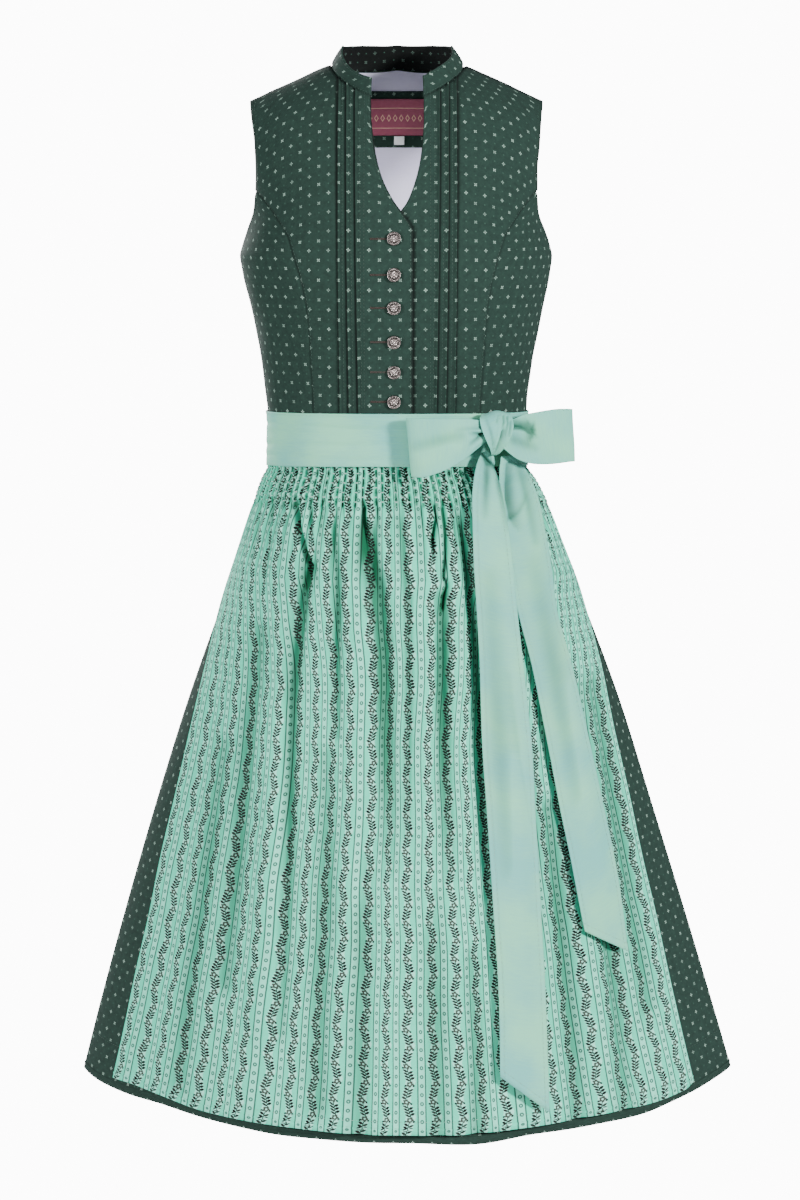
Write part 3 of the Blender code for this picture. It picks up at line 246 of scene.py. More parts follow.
def mintPrint():
    # cotton voile, roller printed in two tones: leafy zigzag vines between narrow chain bands
    finish, tree, shader = newMaterial("mintVineVoile")
    size = mintCotton
    inMm, across, along = clothInMm(tree)
    pitch, limbLength = size["stripe"], size["vine"] / 2
    leafPitch, ovalPitch = size["leafPitch"], size["oval"]
    vineX = node(tree, "Math.SUBTRACT", node(tree, "Math.FLOORED_MODULO", across, pitch), pitch / 2)
    chainX = node(tree, "Math.SUBTRACT", pitch / 2, node(tree, "Math.ABSOLUTE", vineX))
    turn = node(tree, "Math.PINGPONG", along, limbLength)
    centre = node(tree, "MapRange", turn, 0.0, limbLength, -size["lean"], size["lean"])
    beside = node(tree, "Math.SUBTRACT", vineX, centre)
    side = node(tree, "Math.ABSOLUTE", beside)
    limbY = node(tree, "Math.FLOORED_MODULO", along, limbLength)
    limb = node(tree, "Math.FLOOR", node(tree, "Math.DIVIDE", along, limbLength))

    # leaves lean up and outwards, in turn on the two sides of the stem, below one flower on each limb
    right = node(tree, "Math.GREATER_THAN", beside, 0.0)
    row = node(tree, "Math.MULTIPLY_ADD", right, -leafPitch / 2, limbY)
    leafRow = node(tree, "Math.FLOOR", node(tree, "Math.DIVIDE", row, leafPitch))
    leafY = node(tree, "Math.SUBTRACT", node(tree, "Math.FLOORED_MODULO", row, leafPitch), leafPitch / 2)
    corner = node(tree, "CombineXYZ", node(tree, "Math.SUBTRACT", side, size["leafOut"]), leafY)
    leaned = node(tree, "VectorRotate", corner, None, None, size["leafLean"], rotation_type="Z_AXIS")
    leafSides = [node(tree, "SeparateXYZ", leaned, out=place) for place in (0, 1)]
    # only whole leaves: rows 0 to 3 on the left of the stem, and 0 to 2 on its right
    whole = node(tree, "Math.COMPARE", node(tree, "Math.MULTIPLY_ADD", right, 0.5, leafRow), 1.5, 1.8)
    leaf = node(tree, "Math.MULTIPLY", disc(tree, *leafSides, *size["leafHalf"], 0.15), whole)
    draw = node(tree, "TexWhiteNoise", node(tree, "CombineXYZ", leafRow, right, limb), noise_dimensions="3D")
    age = node(tree, "MapRange", draw, 0.0, 1.0, 0.0, 0.5)
    leafInk = node(tree, "Mix", age, out=2, data_type="RGBA", named={6: size["leaf"], 7: size["rose"]})

    flowerY = node(tree, "Math.SUBTRACT", limbY, size["flowerUp"])
    stem = line(tree, beside, 0.0, size["stem"], 0.2)
    budX = node(tree, "Math.SUBTRACT", side, size["budOut"])
    budY = node(tree, "Math.ADD", flowerY, size["budDown"])
    bud = disc(tree, budX, budY, *size["budHalf"], 0.2)
    spray = node(tree, "Math.MAXIMUM", node(tree, "Math.MAXIMUM", leaf, stem), bud)
    turned = node(tree, "Math.MULTIPLY", node(tree, "Math.ARCTAN2", flowerY, beside), size["petals"])
    petal = node(tree, "Math.COSINE", turned)
    reach = node(tree, "VectorMath.LENGTH", node(tree, "CombineXYZ", beside, flowerY), out=1)
    outline = node(tree, "Math.MULTIPLY_ADD", petal, size["petalDepth"], size["flower"])
    edge = node(tree, "Math.SUBTRACT", reach, outline)
    flower = node(tree, "MapRange", edge, -0.2, 0.2, 1.0, 0.0)
    heart = disc(tree, beside, flowerY, size["heart"], size["heart"], 0.3)

    band = line(tree, chainX, 0.0, size["band"], 0.25)
    rails = line(tree, chainX, size["band"], size["rail"], 0.2)
    ovalY = node(tree, "Math.SUBTRACT", node(tree, "Math.FLOORED_MODULO", along, ovalPitch), ovalPitch / 2)
    oval = disc(tree, chainX, ovalY, *size["ovalHalf"], 0.2)
    hole = disc(tree, chainX, ovalY, *size["holeHalf"], 0.3)
    ring = node(tree, "Math.SUBTRACT", oval, hole, use_clamp=True)
    chain = node(tree, "Math.MULTIPLY", node(tree, "Math.MAXIMUM", rails, ring), size["chainInk"])

    # the cloth is left paler under the chain and between the leaves
    inside = node(tree, "MapRange", side, *size["paleEdge"], 0.0, 1.0)
    paleBand = node(tree, "Math.MULTIPLY", band, size["bandShare"])
    paleVine = node(tree, "Math.MULTIPLY", inside, size["paleShare"])
    resist = node(tree, "Math.MAXIMUM", paleBand, paleVine)
    colour = size["ground"]
    for mask, ink in ((resist, size["pale"]), (chain, size["line"]), (spray, leafInk), (flower, size["rose"]),
                      (heart, size["pale"])):
        colour = node(tree, "Mix", mask, out=2, data_type="RGBA", named={6: colour, 7: ink})
    clouds = node(tree, "TexNoise", inMm, named={"Scale": 0.05, "Detail": 3.0})
    tone = node(tree, "MapRange", clouds, 0.4, 0.7, 0.0, 0.35)
    toned = node(tree, "Mix", tone, out=2, data_type="RGBA", blend_type="MULTIPLY",
                 named={6: colour, 7: size["cloud"]})
    # painted shade: deep in the folds the colour is drawn greener and darker, as light that passes from cloth to cloth
    # would come out
    deep = withPaintedShade(tree, toned, size["hollow"])
    tree.links.new(deep, shader.inputs["Base Color"])
    shader.inputs["Roughness"].default_value = size["roughness"]
    shader.inputs["Specular IOR Level"].default_value = size["specular"]
    weave(tree, shader, inMm, *size["weave"])
    return finish


shotCotton = {
    # pressed is the colour of painted shade where the cloth is pressed in
    "slub": (0.06, 0.7), "clouds": 0.014, "cloudShare": 0.72, "change": (0.40, 0.60), "pressed": "5f8f84",
    "weave": (0.7, 0.35),
}




def plainCotton(name, warp, weft, roughness, sheen):
    # shot cotton: warp and weft of two tones, one or the other showing in broad soft areas, with fine slubs
    finish, tree, shader = newMaterial(name)
    size = shotCotton
    inMm, across, along = clothInMm(tree)
    slubs = [node(tree, "Math.MULTIPLY", way, scale) for way, scale in zip((across, along), size["slub"])]
    slub = node(tree, "CombineXYZ", *slubs)
    streaks = node(tree, "TexNoise", slub, named={"Scale": 1.0, "Detail": 4.0, "Roughness": 0.7})
    clouds = node(tree, "TexNoise", inMm, named={"Scale": size["clouds"], "Detail": 2.0})
    rest = node(tree, "Math.MULTIPLY", streaks, 1 - size["cloudShare"])
    both = node(tree, "Math.MULTIPLY_ADD", clouds, size["cloudShare"], rest)
    share = node(tree, "MapRange", both, *size["change"])
    shot = node(tree, "Mix", share, out=2, data_type="RGBA", named={6: warp, 7: weft})
    deep = withPaintedShade(tree, shot, size["pressed"])  # painted shade where it is pressed in
    tree.links.new(deep, shader.inputs["Base Color"])
    shader.inputs["Roughness"].default_value = roughness
    shader.inputs["Sheen Weight"].default_value = sheen
    weave(tree, shader, inMm, *size["weave"])
    return finish


wovenLabel = {
    "ground": "8c3852", "light": "9e4c64", "figure": "e8c2a4", "figureShare": 0.75, "roughness": 0.55,
    "middle": 18.2, "rules": 10.5, "ruleHalf": 0.35, "tile": 6.5, "diamond": 1.9, "diamondHalf": 0.45,
    "steepness": 0.6, "weave": (0.7, 0.35),
}




def labelWeave():
    # damask label: satin ground with two pale rules and a row of small diamonds
    finish, tree, shader = newMaterial("mauveWovenLabel")
    size = wovenLabel
    inMm, across, along = clothInMm(tree)
    middle = node(tree, "Math.ABSOLUTE", node(tree, "Math.SUBTRACT", along, size["middle"]))
    rules = line(tree, middle, size["rules"], size["ruleHalf"], 0.1)
    tile = node(tree, "Math.FLOORED_MODULO", across, size["tile"])
    beside = node(tree, "Math.ABSOLUTE", node(tree, "Math.SUBTRACT", tile, size["tile"] / 2))
    reach = node(tree, "Math.ADD", beside, node(tree, "Math.MULTIPLY", middle, size["steepness"]))
    diamonds = line(tree, reach, size["diamond"], size["diamondHalf"], 0.1)
    figure = node(tree, "Math.MULTIPLY", node(tree, "Math.MAXIMUM", rules, diamonds), size["figureShare"])
    sheen = node(tree, "TexNoise", inMm, named={"Scale": 0.25, "Detail": 4.0})
    ground = node(tree, "Mix", sheen, out=2, data_type="RGBA", named={6: size["ground"], 7: size["light"]})
    colour = node(tree, "Mix", figure, out=2, data_type="RGBA", named={6: ground, 7: size["figure"]})
    tree.links.new(colour, shader.inputs["Base Color"])
    shader.inputs["Roughness"].default_value = size["roughness"]
    weave(tree, shader, inMm, *size["weave"])
    return finish


castSilver = {
    "hollow": "0e0b0a", "top": "dccfcb", "grain": 900.0, "grainShare": 0.35, "cover": 0.24,
    "roughness": (0.28, 0.45),
}


def oldSilver():
    # cast zinc, silver plated and oxidised: bright worn tops over darker hollows
    # the cast skin's grain of about 0.2 mm is drawn at 1.1 mm, so that it shows
    finish, tree, shader = newMaterial("oxidisedSilver")
    size = castSilver
    worn = node(tree, "Attribute", attribute_name="worn", out=2)
    grain = node(tree, "TexNoise", node(tree, "TexCoord", out=3),
                 named={"Scale": size["grain"], "Detail": 3.0})
    bare = node(tree, "Math.SUBTRACT", worn, size["cover"])
    mixed = node(tree, "Math.MULTIPLY_ADD", grain, size["grainShare"], bare, use_clamp=True)
    tone = node(tree, "Mix", mixed, out=2, data_type="RGBA", named={6: size["hollow"], 7: size["top"]})
    tree.links.new(tone, shader.inputs["Base Color"])
    rough = node(tree, "MapRange", grain, 0.3, 0.7, *size["roughness"])
    tree.links.new(rough, shader.inputs["Roughness"])
    shader.inputs["Metallic"].default_value = 1.0
    return finish


spunThread = {"twist": 1200.0, "shade": "303030", "shadeShare": 0.4}


def thread(name, colour, gloss):
    # spun polyester sewing thread, a little shiny, its twist drawn at 0.8 mm so that it shows
    finish, tree, shader = newMaterial(name)
    size = spunThread
    twist = node(tree, "TexNoise", node(tree, "TexCoord", out=3),
                 named={"Scale": size["twist"], "Detail": 2.0})
    share = node(tree, "MapRange", twist, 0.35, 0.65, 0.0, size["shadeShare"])
    shaded = node(tree, "Mix", share, out=2, data_type="RGBA", blend_type="MULTIPLY",
                  named={6: colour, 7: size["shade"]})
    tree.links.new(shaded, shader.inputs["Base Color"])
    shader.inputs["Roughness"].default_value = gloss
    return finish


finishes = {
    "green": greenPrint("greenFlowerPoplin", "20372f", "182a24", "869f92"),
    # a darker copy of the green print, as painted shade on the collar's inside
    "inside": greenPrint("collarInsidePaintedShadePoplin", "060c0a", "040706", "4c6057"),
    "mint": mintPrint(),
    "plain": plainCotton("shotMintCotton", "62b2a8", "78c8a4", 0.7, 0.05),
    "lavender": plainCotton("lavenderLining", "d0cce8", "dad8ee", 0.8, 0.05),
    "mauve": labelWeave(),
    "white": plainCotton("whiteTape", "f2f6f8", "fbfcfc", 0.7, 0.05),
    "silver": oldSilver(),
    "greenThread": thread("greenThread", "2e473d", 0.6),
    "mintThread": thread("mintThread", "8fb9a9", 0.55),
    "smockThread": thread("smockThread", "bfe0d4", 0.5),
    "brownThread": thread("brownSilkTwist", "3e2e27", 0.5),
    "mauveThread": thread("mauveThread", "8a4860", 0.5),
}
print("finishes:", len(finishes))


# The garment's form

class RowTable:
    # rows with named columns, read as smooth curves over the first column
    def __init__(self, names, rows, plain=()):
        values = np.array(sorted(rows), dtype=float)
        for place, name in enumerate(names):
            if name not in plain:
                values[:, place] *= mm
        self.keys = values[:, 0]
        self.curves = {}
        for place, name in enumerate(names):
            rates = np.diff(values[:, place]) / np.diff(self.keys)
            slopes = np.array([rates[0], *np.zeros(len(rates) - 1), rates[-1]])
            for inner, (before, after) in enumerate(zip(rates, rates[1:]), 1):
                if before * after > 0:
                    slopes[inner] = 2 * before * after / (before + after)
            self.curves[name] = (values[:, place], slopes)

    def read(self, name, key):
        values, slopes = self.curves[name]
        key = np.clip(key, self.keys[0], self.keys[-1])
        place = np.clip(np.searchsorted(self.keys, key) - 1, 0, len(self.keys) - 2)
        span = self.keys[place + 1] - self.keys[place]
        part = (key - self.keys[place]) / span
        rise = 3 * part ** 2 - 2 * part ** 3
        leave = (part ** 3 - 2 * part ** 2 + part) * span * slopes[place]
        arrive = (part ** 3 - part ** 2) * span * slopes[place + 1]
        return values[place] + (values[place + 1] - values[place]) * rise + leave + arrive


# side: height at the side seam or armhole, rise: how much higher the middle is, then half
# widths, depths at the middle and at the armhole, and how much of a quarter round it covers
bodiceForm = RowTable(
    ("side", "rise", "right", "left", "front", "back", "frontEdge", "backEdge", "reach"),
    (
        (-345, 0, 126.3, 125.6, 92, 84, 0, 0, 1.0),
        (-331, 0, 127.0, 126.2, 93.5, 85, 0, 0, 1.0),
        (-317, 0, 128.7, 127.6, 96, 87, 0, 0, 1.0),
        (-298, 0, 130.7, 129.3, 100, 89, 0, 0, 1.0),
        (-268, 0, 134.4, 133.4, 108, 92, 0, 0, 1.0),
        (-239, 0, 139.2, 138.7, 116, 95, 0, 0, 1.0),
        (-209, 0, 145.6, 144.7, 122, 98, 0, 0, 1.0),
        (-182, 0, 152.4, 150.2, 124, 100, 0, 0, 1.0),
        (-165.5, 0, 154.9, 152.2, 123, 102, 0, 0, 1.0),
        (-155, 0, 151.5, 149.2, 121, 102, 7, 7, 0.998),
        (-141, 0, 146.3, 144.0, 118, 103, 18, 15, 0.985),
        (-122, 0, 139.9, 137.6, 113, 103, 30, 26, 0.955),
        (-103, 2, 137.8, 135.6, 106, 102, 38, 34, 0.92),
        (-84, 5, 137.4, 135.6, 96, 99, 38, 36, 0.90),
        (-60, 13, 138.2, 137.9, 80, 93, 32, 30, 0.86),
        (-40, 26, 141.0, 139.8, 61, 83, 21, 20, 0.78),
        (-28, 39, 142.8, 140.8, 40, 70, 9, 14, 0.70),
        (-21, 49, 143.8, 141.8, 18, 52, 0, 11, 0.64),
        (-16, 57, 144.4, 142.2, -8, 8, -8, 8, 0.60),
    ),
    plain=("reach",),
)
frontEdgeForm = RowTable(
    ("side", "right", "left"),
    (
        (-345, 14.9, -15.0), (-165, 14.9, -15.0), (-150, 14.9, -14.0), (-141, 14.5, -10.5),
        (-136, 12.4, -7.0), (-131, 8.8, -2.8), (-124, 3.4, 3.2), (-116, -2.8, 9.2), (-104, -10.4, 14.8),
        (-97, -13.8, 17.3), (-88, -17.2, 20.0), (-74, -20.9, 22.9), (-63, -23.0, 24.3), (-50, -24.8, 25.2),
        (-38, -25.2, 25.2), (-16, -25.2, 25.2),
    ),
)
princessForm = RowTable(
    ("side", "share"),
    ((-345, 0.63), (-280, 0.62), (-209, 0.60), (-172, 0.625), (-150, 0.69), (-127, 0.835), (-105, 0.985)),
    plain=("share",),
)
collarForm = RowTable(
    ("round", "right", "left", "lean"),
    (
        (0, 16.0, 17.6, 1.5), (0.06, 15.0, 18.8, 2.2), (0.12, 14.4, 19.0, 3.0), (0.2, 14.8, 18.6, 4.8),
        (0.28, 16.8, 18.0, 7.0), (0.35, 17.8, 18.0, 9.6), (0.43, 18.2, 18.2, 11.8), (0.52, 20.2, 20.2, 12.6),
        (0.62, 21.9, 21.9, 12.4), (0.8, 22.1, 22.1, 10.2), (1, 20.0, 20.0, 6.5),
    ),
    plain=("round",),
)
skirtForm = RowTable(
    ("height", "right", "left", "front", "back", "round", "point"),
    (
        (-345.3, 124.4, 123.6, 90.0, 82, 2.3, 2.3),
        (-372, 125.0, 124.4, 91.0, 83, 2.3, 2.25),
        (-384, 130.8, 132.6, 95.5, 88, 2.28, 2.15),
        (-407, 139.2, 144.6, 104, 97, 2.2, 1.9),
        (-440, 150.6, 158.2, 114.5, 107, 2.15, 1.75),
        (-508, 174.8, 185.4, 133, 124, 2.1, 1.6),
        (-609, 210.8, 223.6, 156, 146, 2.05, 1.42),
        (-711, 243.2, 256.0, 177, 166, 2.0, 1.32),
        (-815, 273.9, 288.6, 199, 185, 2.0, 1.27),
        (-919, 302.8, 320.4, 219, 202, 2.0, 1.24),
        (-995, 322.5, 343.0, 235.5, 214, 2.0, 1.23),
    ),
    plain=("round", "point"),
)
bandForm = RowTable(
    ("height", "right", "left", "front", "back", "round", "point"),
    (
        (-372, 130.2, 129.6, 98.0, 91.5, 2.3, 2.3),
        (-345, 130.0, 129.3, 97.8, 91.5, 2.3, 2.3),
        (-318.5, 130.4, 129.7, 99.3, 92.5, 2.3, 2.3),
    ),
    plain=("round", "point"),
)
skirtHemForm = RowTable(
    ("share", "front", "back"),
    (
        (-1, -989, -989), (-0.88, -991, -990), (-0.62, -987, -991.5), (-0.4, -989.5, -989),
        (0, -991, -990.5), (0.16, -994, -992), (0.3, -991.5, -989), (0.6, -994, -991.5),
        (0.88, -988.5, -988), (1, -987.5, -987.5),
    ),
    plain=("share",),
)
apronHemForm = RowTable(
    ("share", "height"),
    (
        (-1, -977), (-0.86, -974), (-0.6, -978.3), (0, -980.5), (0.14, -982), (0.5, -980.5), (0.86, -983),
        (0.95, -982), (1, -977.5),
    ),
    plain=("share",),
)
apronInset = RowTable(
    ("height", "right", "left"),
    (
        (-372, 0, 0), (-472, 0, 0), (-508, 2.8, 3.8), (-561, 10.3, 10.6), (-628, 17.8, 21.5),
        (-697, 23.8, 27.2), (-756, 27.5, 33.2), (-815, 32.8, 37.6), (-870, 35.4, 42.6), (-930, 39, 47),
        (-983, 40.5, 50),
    ),
)
body = {
    "waist": -345, "shoulder": -16, "blunt": 2.3, "lap": 1.6,
    # the neck hole, the lowest row that it can cut and the row above which rows crowd together below it
    "neckHalf": 65, "neckMiddle": 8, "neckFront": 71.5, "neckBack": 54, "neckLow": -100, "crowdFrom": -62,
    "skirtTop": -345.3, "skirtFoot": -1000, "smockTop": -372.3, "bandBottom": -372, "bandTop": -318.5,
    "frontRise": 5.5, "bandRise": 2.5,
}
sideName = {-1: "right", 1: "left"}  # the wearer's own


def smoothStep(value, start, end):
    part = np.clip((value - start) / (end - start), 0, 1)
    return part * part * (3 - 2 * part)


def stack(across, ahead, height):
    return np.stack(np.broadcast_arrays(across, ahead, height), -1)


def bodicePoints(row, turn, front):
    # turn runs from -1 at the wearer's right side to 1 at the left
    width = np.where(turn > 0, bodiceForm.read("left", row), bodiceForm.read("right", row))
    share = np.sin(np.minimum(np.abs(turn), 1) * math.pi / 2)
    middle = bodiceForm.read("front" if front else "back", row)
    edge = bodiceForm.read("frontEdge" if front else "backEdge", row)
    reach, power = bodiceForm.read("reach", row), body["blunt"]
    low = np.maximum(1 - reach ** power, 0) ** (1 / power)
    here = np.maximum(1 - np.minimum(share * reach, 1) ** power, 0) ** (1 / power)
    depth = edge + (middle - edge) * (here - low) / (1 - low)
    height = row + bodiceForm.read("rise", row) * (1 - share ** 1.2)
    return stack(np.sign(turn) * width * share, -depth if front else depth, height)


def turnAt(row, across):
    width = np.where(across > 0, bodiceForm.read("left", row), bodiceForm.read("right", row))
    return np.sign(across) * np.arcsin(np.minimum(np.abs(across) / width, 1)) * 2 / math.pi


def halve(test, low, high, count):
    # the place where test turns from true to false, for many columns at once
    low, high = np.full(count, low), np.full(count, high)
    for _ in range(32):  # far finer than any size here
        middle = (low + high) / 2
        holds = test(middle)
        low, high = np.where(holds, middle, low), np.where(holds, high, middle)
    return low


def outsideNeck(points):
    depth = np.where(points[..., 1] < body["neckMiddle"] * mm, body["neckFront"], body["neckBack"]) * mm
    ahead = (points[..., 1] - body["neckMiddle"] * mm) / depth
    return (points[..., 0] / (body["neckHalf"] * mm)) ** 2 + ahead ** 2 >= 1


def columnTops(acrossAt, front, count):
    # each column ends at the shoulder seam or on the edge of the neck hole
    def clear(row):
        return outsideNeck(bodicePoints(row, turnAt(row, acrossAt(row)), front))

    high = body["shoulder"] * mm
    reaches = clear(np.full(count, high - 0.01 * mm))
    return np.where(reaches, high, halve(clear, body["neckLow"] * mm, high, count))


def spreadRows(rows, tops):
    start, high = body["crowdFrom"] * mm, body["shoulder"] * mm
    part = np.maximum((rows[:, None] - start) / (high - start), 0)
    return np.where(rows[:, None] < start, rows[:, None], start + part * (tops[None] - start))


def facing(points, inward=False):
    # unit normals of a grid, pointing away from the body's axis
    normal = np.cross(np.gradient(points, axis=0), np.gradient(points, axis=1))
    normal /= np.maximum(np.linalg.norm(normal, axis=2, keepdims=True), 1e-12)
    away = (normal[..., :2] * points[..., :2]).sum() > 0
    return normal if away != inward else -normal


def flatCloth(points, column):
    # cloth coordinates measured along the grid, straight down one column
    across = np.linalg.norm(np.diff(points, axis=1), axis=2).cumsum(1)
    across = np.concatenate((np.zeros((len(points), 1)), across), 1)
    along = np.linalg.norm(np.diff(points, axis=0), axis=2).cumsum(0)
    along = np.concatenate((np.zeros((1, points.shape[1])), along), 0)
    return np.stack((across - across[:, column:column + 1], along), -1)


def dents(points, lines):
    # how far points sink at creases. A line is its half width on the left and right of its way, and its
    # points: x, z and depth in mm. A depth below zero stands up
    across, height = points[..., 0] / mm, points[..., 2] / mm
    total = 0
    for left, right, *path in lines:
        low = high = np.zeros(across.shape)
        for (startX, startZ, startDepth), (endX, endZ, endDepth) in zip(path, path[1:]):
            wayX, wayZ = endX - startX, endZ - startZ
            part = ((across - startX) * wayX + (height - startZ) * wayZ) / (wayX ** 2 + wayZ ** 2)
            part = np.clip(part, 0, 1)
            besideX, besideZ = across - startX - part * wayX, height - startZ - part * wayZ
            width = np.where(wayX * besideZ - wayZ * besideX > 0, left, right)
            fade = np.exp(-(besideX ** 2 + besideZ ** 2) / width ** 2)
            depth = (startDepth + (endDepth - startDepth) * part) * fade
            low, high = np.minimum(low, depth), np.maximum(high, depth)
        total = total + low + high
    return total * mm


grids = {}  # the finished grids, for the stitches


def cloth(name, points, place, finish, shell=0.0, inward=False, paintedShade=None):
    # a grid of cloth. shell is the thickness in mm that is given inwards from the grid
    rows, columns = points.shape[:2]
    index = np.arange(rows * columns).reshape(rows, columns)
    faces = np.stack((index[:-1, :-1], index[:-1, 1:], index[1:, 1:], index[1:, :-1]), -1).reshape(-1, 4)
    normal = np.cross(np.gradient(points, axis=0), np.gradient(points, axis=1))
    if (normal * facing(points, inward)).sum() > 0:
        faces = faces[:, ::-1]
    mesh = bpy.data.meshes.new(name)
    mesh.from_pydata(points.reshape(-1, 3).tolist(), [], faces.tolist())
    layer = mesh.uv_layers.new(name="cloth")
    layer.data.foreach_set("uv", place.reshape(-1, 2)[faces.ravel()].astype(np.float32).ravel())
    mesh.polygons.foreach_set("use_smooth", np.ones(len(faces), bool))
    mesh.materials.append(finishes[finish])
    # painted shade, from 0 to 1, that darkens the cloth's colour where it lies deep
    if paintedShade is not None:
        values = np.broadcast_to(paintedShade, (rows, columns)).clip(0, 1).astype(np.float32)
        mesh.attributes.new("paintedShade", "FLOAT", "POINT").data.foreach_set("value", values.ravel())
    grids[name] = (points, facing(points, inward))
    item = bpy.data.objects.new(name, mesh)
    scene.collection.objects.link(item)
    if shell:
        wall = item.modifiers.new("shell", "SOLIDIFY")
        wall.thickness = shell * mm
        wall.offset = -1
    return item


def dress(item, nodes, flat=None, area=None):
    # hands a finished piece to the frame
    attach(item, "root")
    if nodes:
        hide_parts(*nodes)
    print(item.name, "faces", len(item.data.polygons))


class HalfRounds:
    # half sections of a form, looked up by height and share of their length
    def __init__(self, form, low, high, front, steps=240):
        self.low, self.high, self.steps = low * mm, high * mm, steps
        turns = np.linspace(-1, 1, 321)
        sine = np.sin(np.abs(turns) * math.pi / 2)
        self.shares = np.linspace(-1, 1, 2 * steps + 1)
        across, ahead = [], []
        for height in np.linspace(self.low, self.high, steps + 1):
            width = np.where(turns > 0, form.read("left", height), form.read("right", height))
            depth = form.read("front" if front else "back", height)
            blunt, point = form.read("round", height), form.read("point", height)
            x = np.sign(turns) * width * sine
            y = depth * np.maximum(1 - sine ** blunt, 0) ** (1 / point)
            length = np.concatenate(([0], np.hypot(np.diff(x), np.diff(y)).cumsum()))
            place = length / length[-1] * 2 - 1
            across.append(np.interp(self.shares, place, x))
            ahead.append(np.interp(self.shares, place, -y if front else y))
        self.across, self.ahead = np.array(across), np.array(ahead)

    def points(self, height, share):
        down = np.clip((height - self.low) / (self.high - self.low), 0, 1) * self.steps
        side = (np.clip(share, -1, 1) + 1) * self.steps
        row = np.minimum(down.astype(int), self.steps - 1)
        column = np.minimum(side.astype(int), 2 * self.steps - 1)
        fall, drift = down - row, side - column
        result = []
        for grid in (self.across, self.ahead):
            upper = grid[row, column] * (1 - drift) + grid[row, column + 1] * drift
            lower = grid[row + 1, column] * (1 - drift) + grid[row + 1, column + 1] * drift
            result.append(upper * (1 - fall) + lower * fall)
        return stack(*result, height)

    def edgeShares(self, inset, side):
        # the share at which a height meets an edge that is inset from the side seam
        heights = np.linspace(self.low, self.high, self.steps + 1)
        shares = []
        for height, across in zip(heights, self.across):
            reach = np.abs(across[-1 if side == "left" else 0]) - inset.read(side, height)
            shares.append(np.interp(reach if side == "left" else -reach, across, self.shares))
        return heights, np.array(shares)


skirtFront = HalfRounds(skirtForm, body["skirtFoot"], body["waist"], True)
skirtBack = HalfRounds(skirtForm, body["skirtFoot"], body["waist"], False)
bandFront = HalfRounds(bandForm, body["bandBottom"], body["bandTop"], True, 40)
bandBack = HalfRounds(bandForm, body["bandBottom"], body["bandTop"], False, 40)
print("form tables read")


# Bodice

bodice = {
    "shell": 1.0, "rows": 118, "placket": 31.5, "princessTop": -106, "seamGap": 0.15,
    "seamRoll": 0.2, "rollWidth": 1.1, "swell": 0.45, "swellLength": 46,
    # columns between the front edge, the placket line, the sides and top of each tuck and the princess seam
    "spans": (14, 3, 4, 4, 3, 4, 4, 3, 4, 4, 26), "stitchColumns": (14, 16, 27, 38),
    # distance of each tuck from the middle at the shoulder and at the waist
    "tucks": ((39.8, 36.2), (48.2, 45.3), (55.8, 54.3)), "tuckHalf": 1.5, "tuckHeight": 1.45,
    "tuckFoot": -314, "tuckFade": 8, "grooveAt": 0.95, "grooveHalf": 0.28, "grooveDepth": 0.35,
    "lapFrom": 27, "lapTo": 17, "lapBelow": -100, "lapFull": -121,
    "pipeAt": 0.5, "pipeHalf": 0.45, "pipeHeight": 0.35, "lapShade": 0.85, "neckShade": 0.6, "crossing": (-118, -126),
}
sideBodice = {
    "rows": 90, "columns": 56, "straight": 24, "printShift": (4.1, 7.3), "underlap": 3.0, "underSink": 1.25,
    "armholeFoot": (-168, -160), "bindingShade": 0.9, "binding": (2.6, 1.9),
}


def ripple(points, length, seed):
    # slow uneven swells of cloth, from about -1 to 1
    draw = np.random.default_rng(seed)
    total = 0
    for _ in range(6):
        way = draw.normal(size=3)
        way *= 2 * math.pi / (length * mm * draw.uniform(0.6, 1.6) * np.linalg.norm(way))
        total = total + np.sin(points @ way + draw.uniform(0, 6.28))
    return total / 3.5


def cutSize(points):
    # width, length and area of a flat cut, measured on the smooth form
    across = np.linalg.norm(np.diff(points, axis=1), axis=2)
    along = np.linalg.norm(np.diff(points, axis=0), axis=2)
    right, up = points[:-1, 1:] - points[:-1, :-1], points[1:, :-1] - points[:-1, :-1]
    cells = np.linalg.norm(np.cross(up, right), axis=2)
    width, length = across.sum(1).max(), along.sum(0).max()
    return (round(width, 3), round(length, 3)), min(cells.sum(), width * length * 0.99)


def rollEdges(place, edges):
    # how much each point sinks towards a seam along the first or last column
    sink = 0
    for edge in edges:
        reach = np.abs(place[..., 0] - place[:, edge:edge + 1 or None, 0][:, :1])
        sink = sink + np.exp(-(reach / (bodice["rollWidth"] * mm)) ** 2)
    return sink * bodice["seamRoll"] * mm


def princessAt(row, side):
    width = bodiceForm.read(sideName[side], row)
    seam = row <= (bodice["princessTop"] + 2) * mm
    return np.where(seam, width * princessForm.read("share", row), width + 1)


def tuckAt(row, tuck):
    part = (row / mm - body["waist"]) / (body["shoulder"] - body["waist"])
    return (tuck[1] + (tuck[0] - tuck[1]) * part) * mm


def frontAnchors(row, side):
    # distances from the middle: front edge, placket line, three pintucks and the princess seam
    name = sideName[side]
    half = bodice["tuckHalf"] * mm
    lines = [side * frontEdgeForm.read(name, row), np.full(np.shape(row), bodice["placket"] * mm)]
    for tuck in bodice["tucks"]:
        lines += [tuckAt(row, tuck) - half, tuckAt(row, tuck), tuckAt(row, tuck) + half]
    outer = np.minimum(princessAt(row, side) - bodice["seamGap"] * mm, bodiceForm.read(name, row))
    return np.stack([*lines, outer])


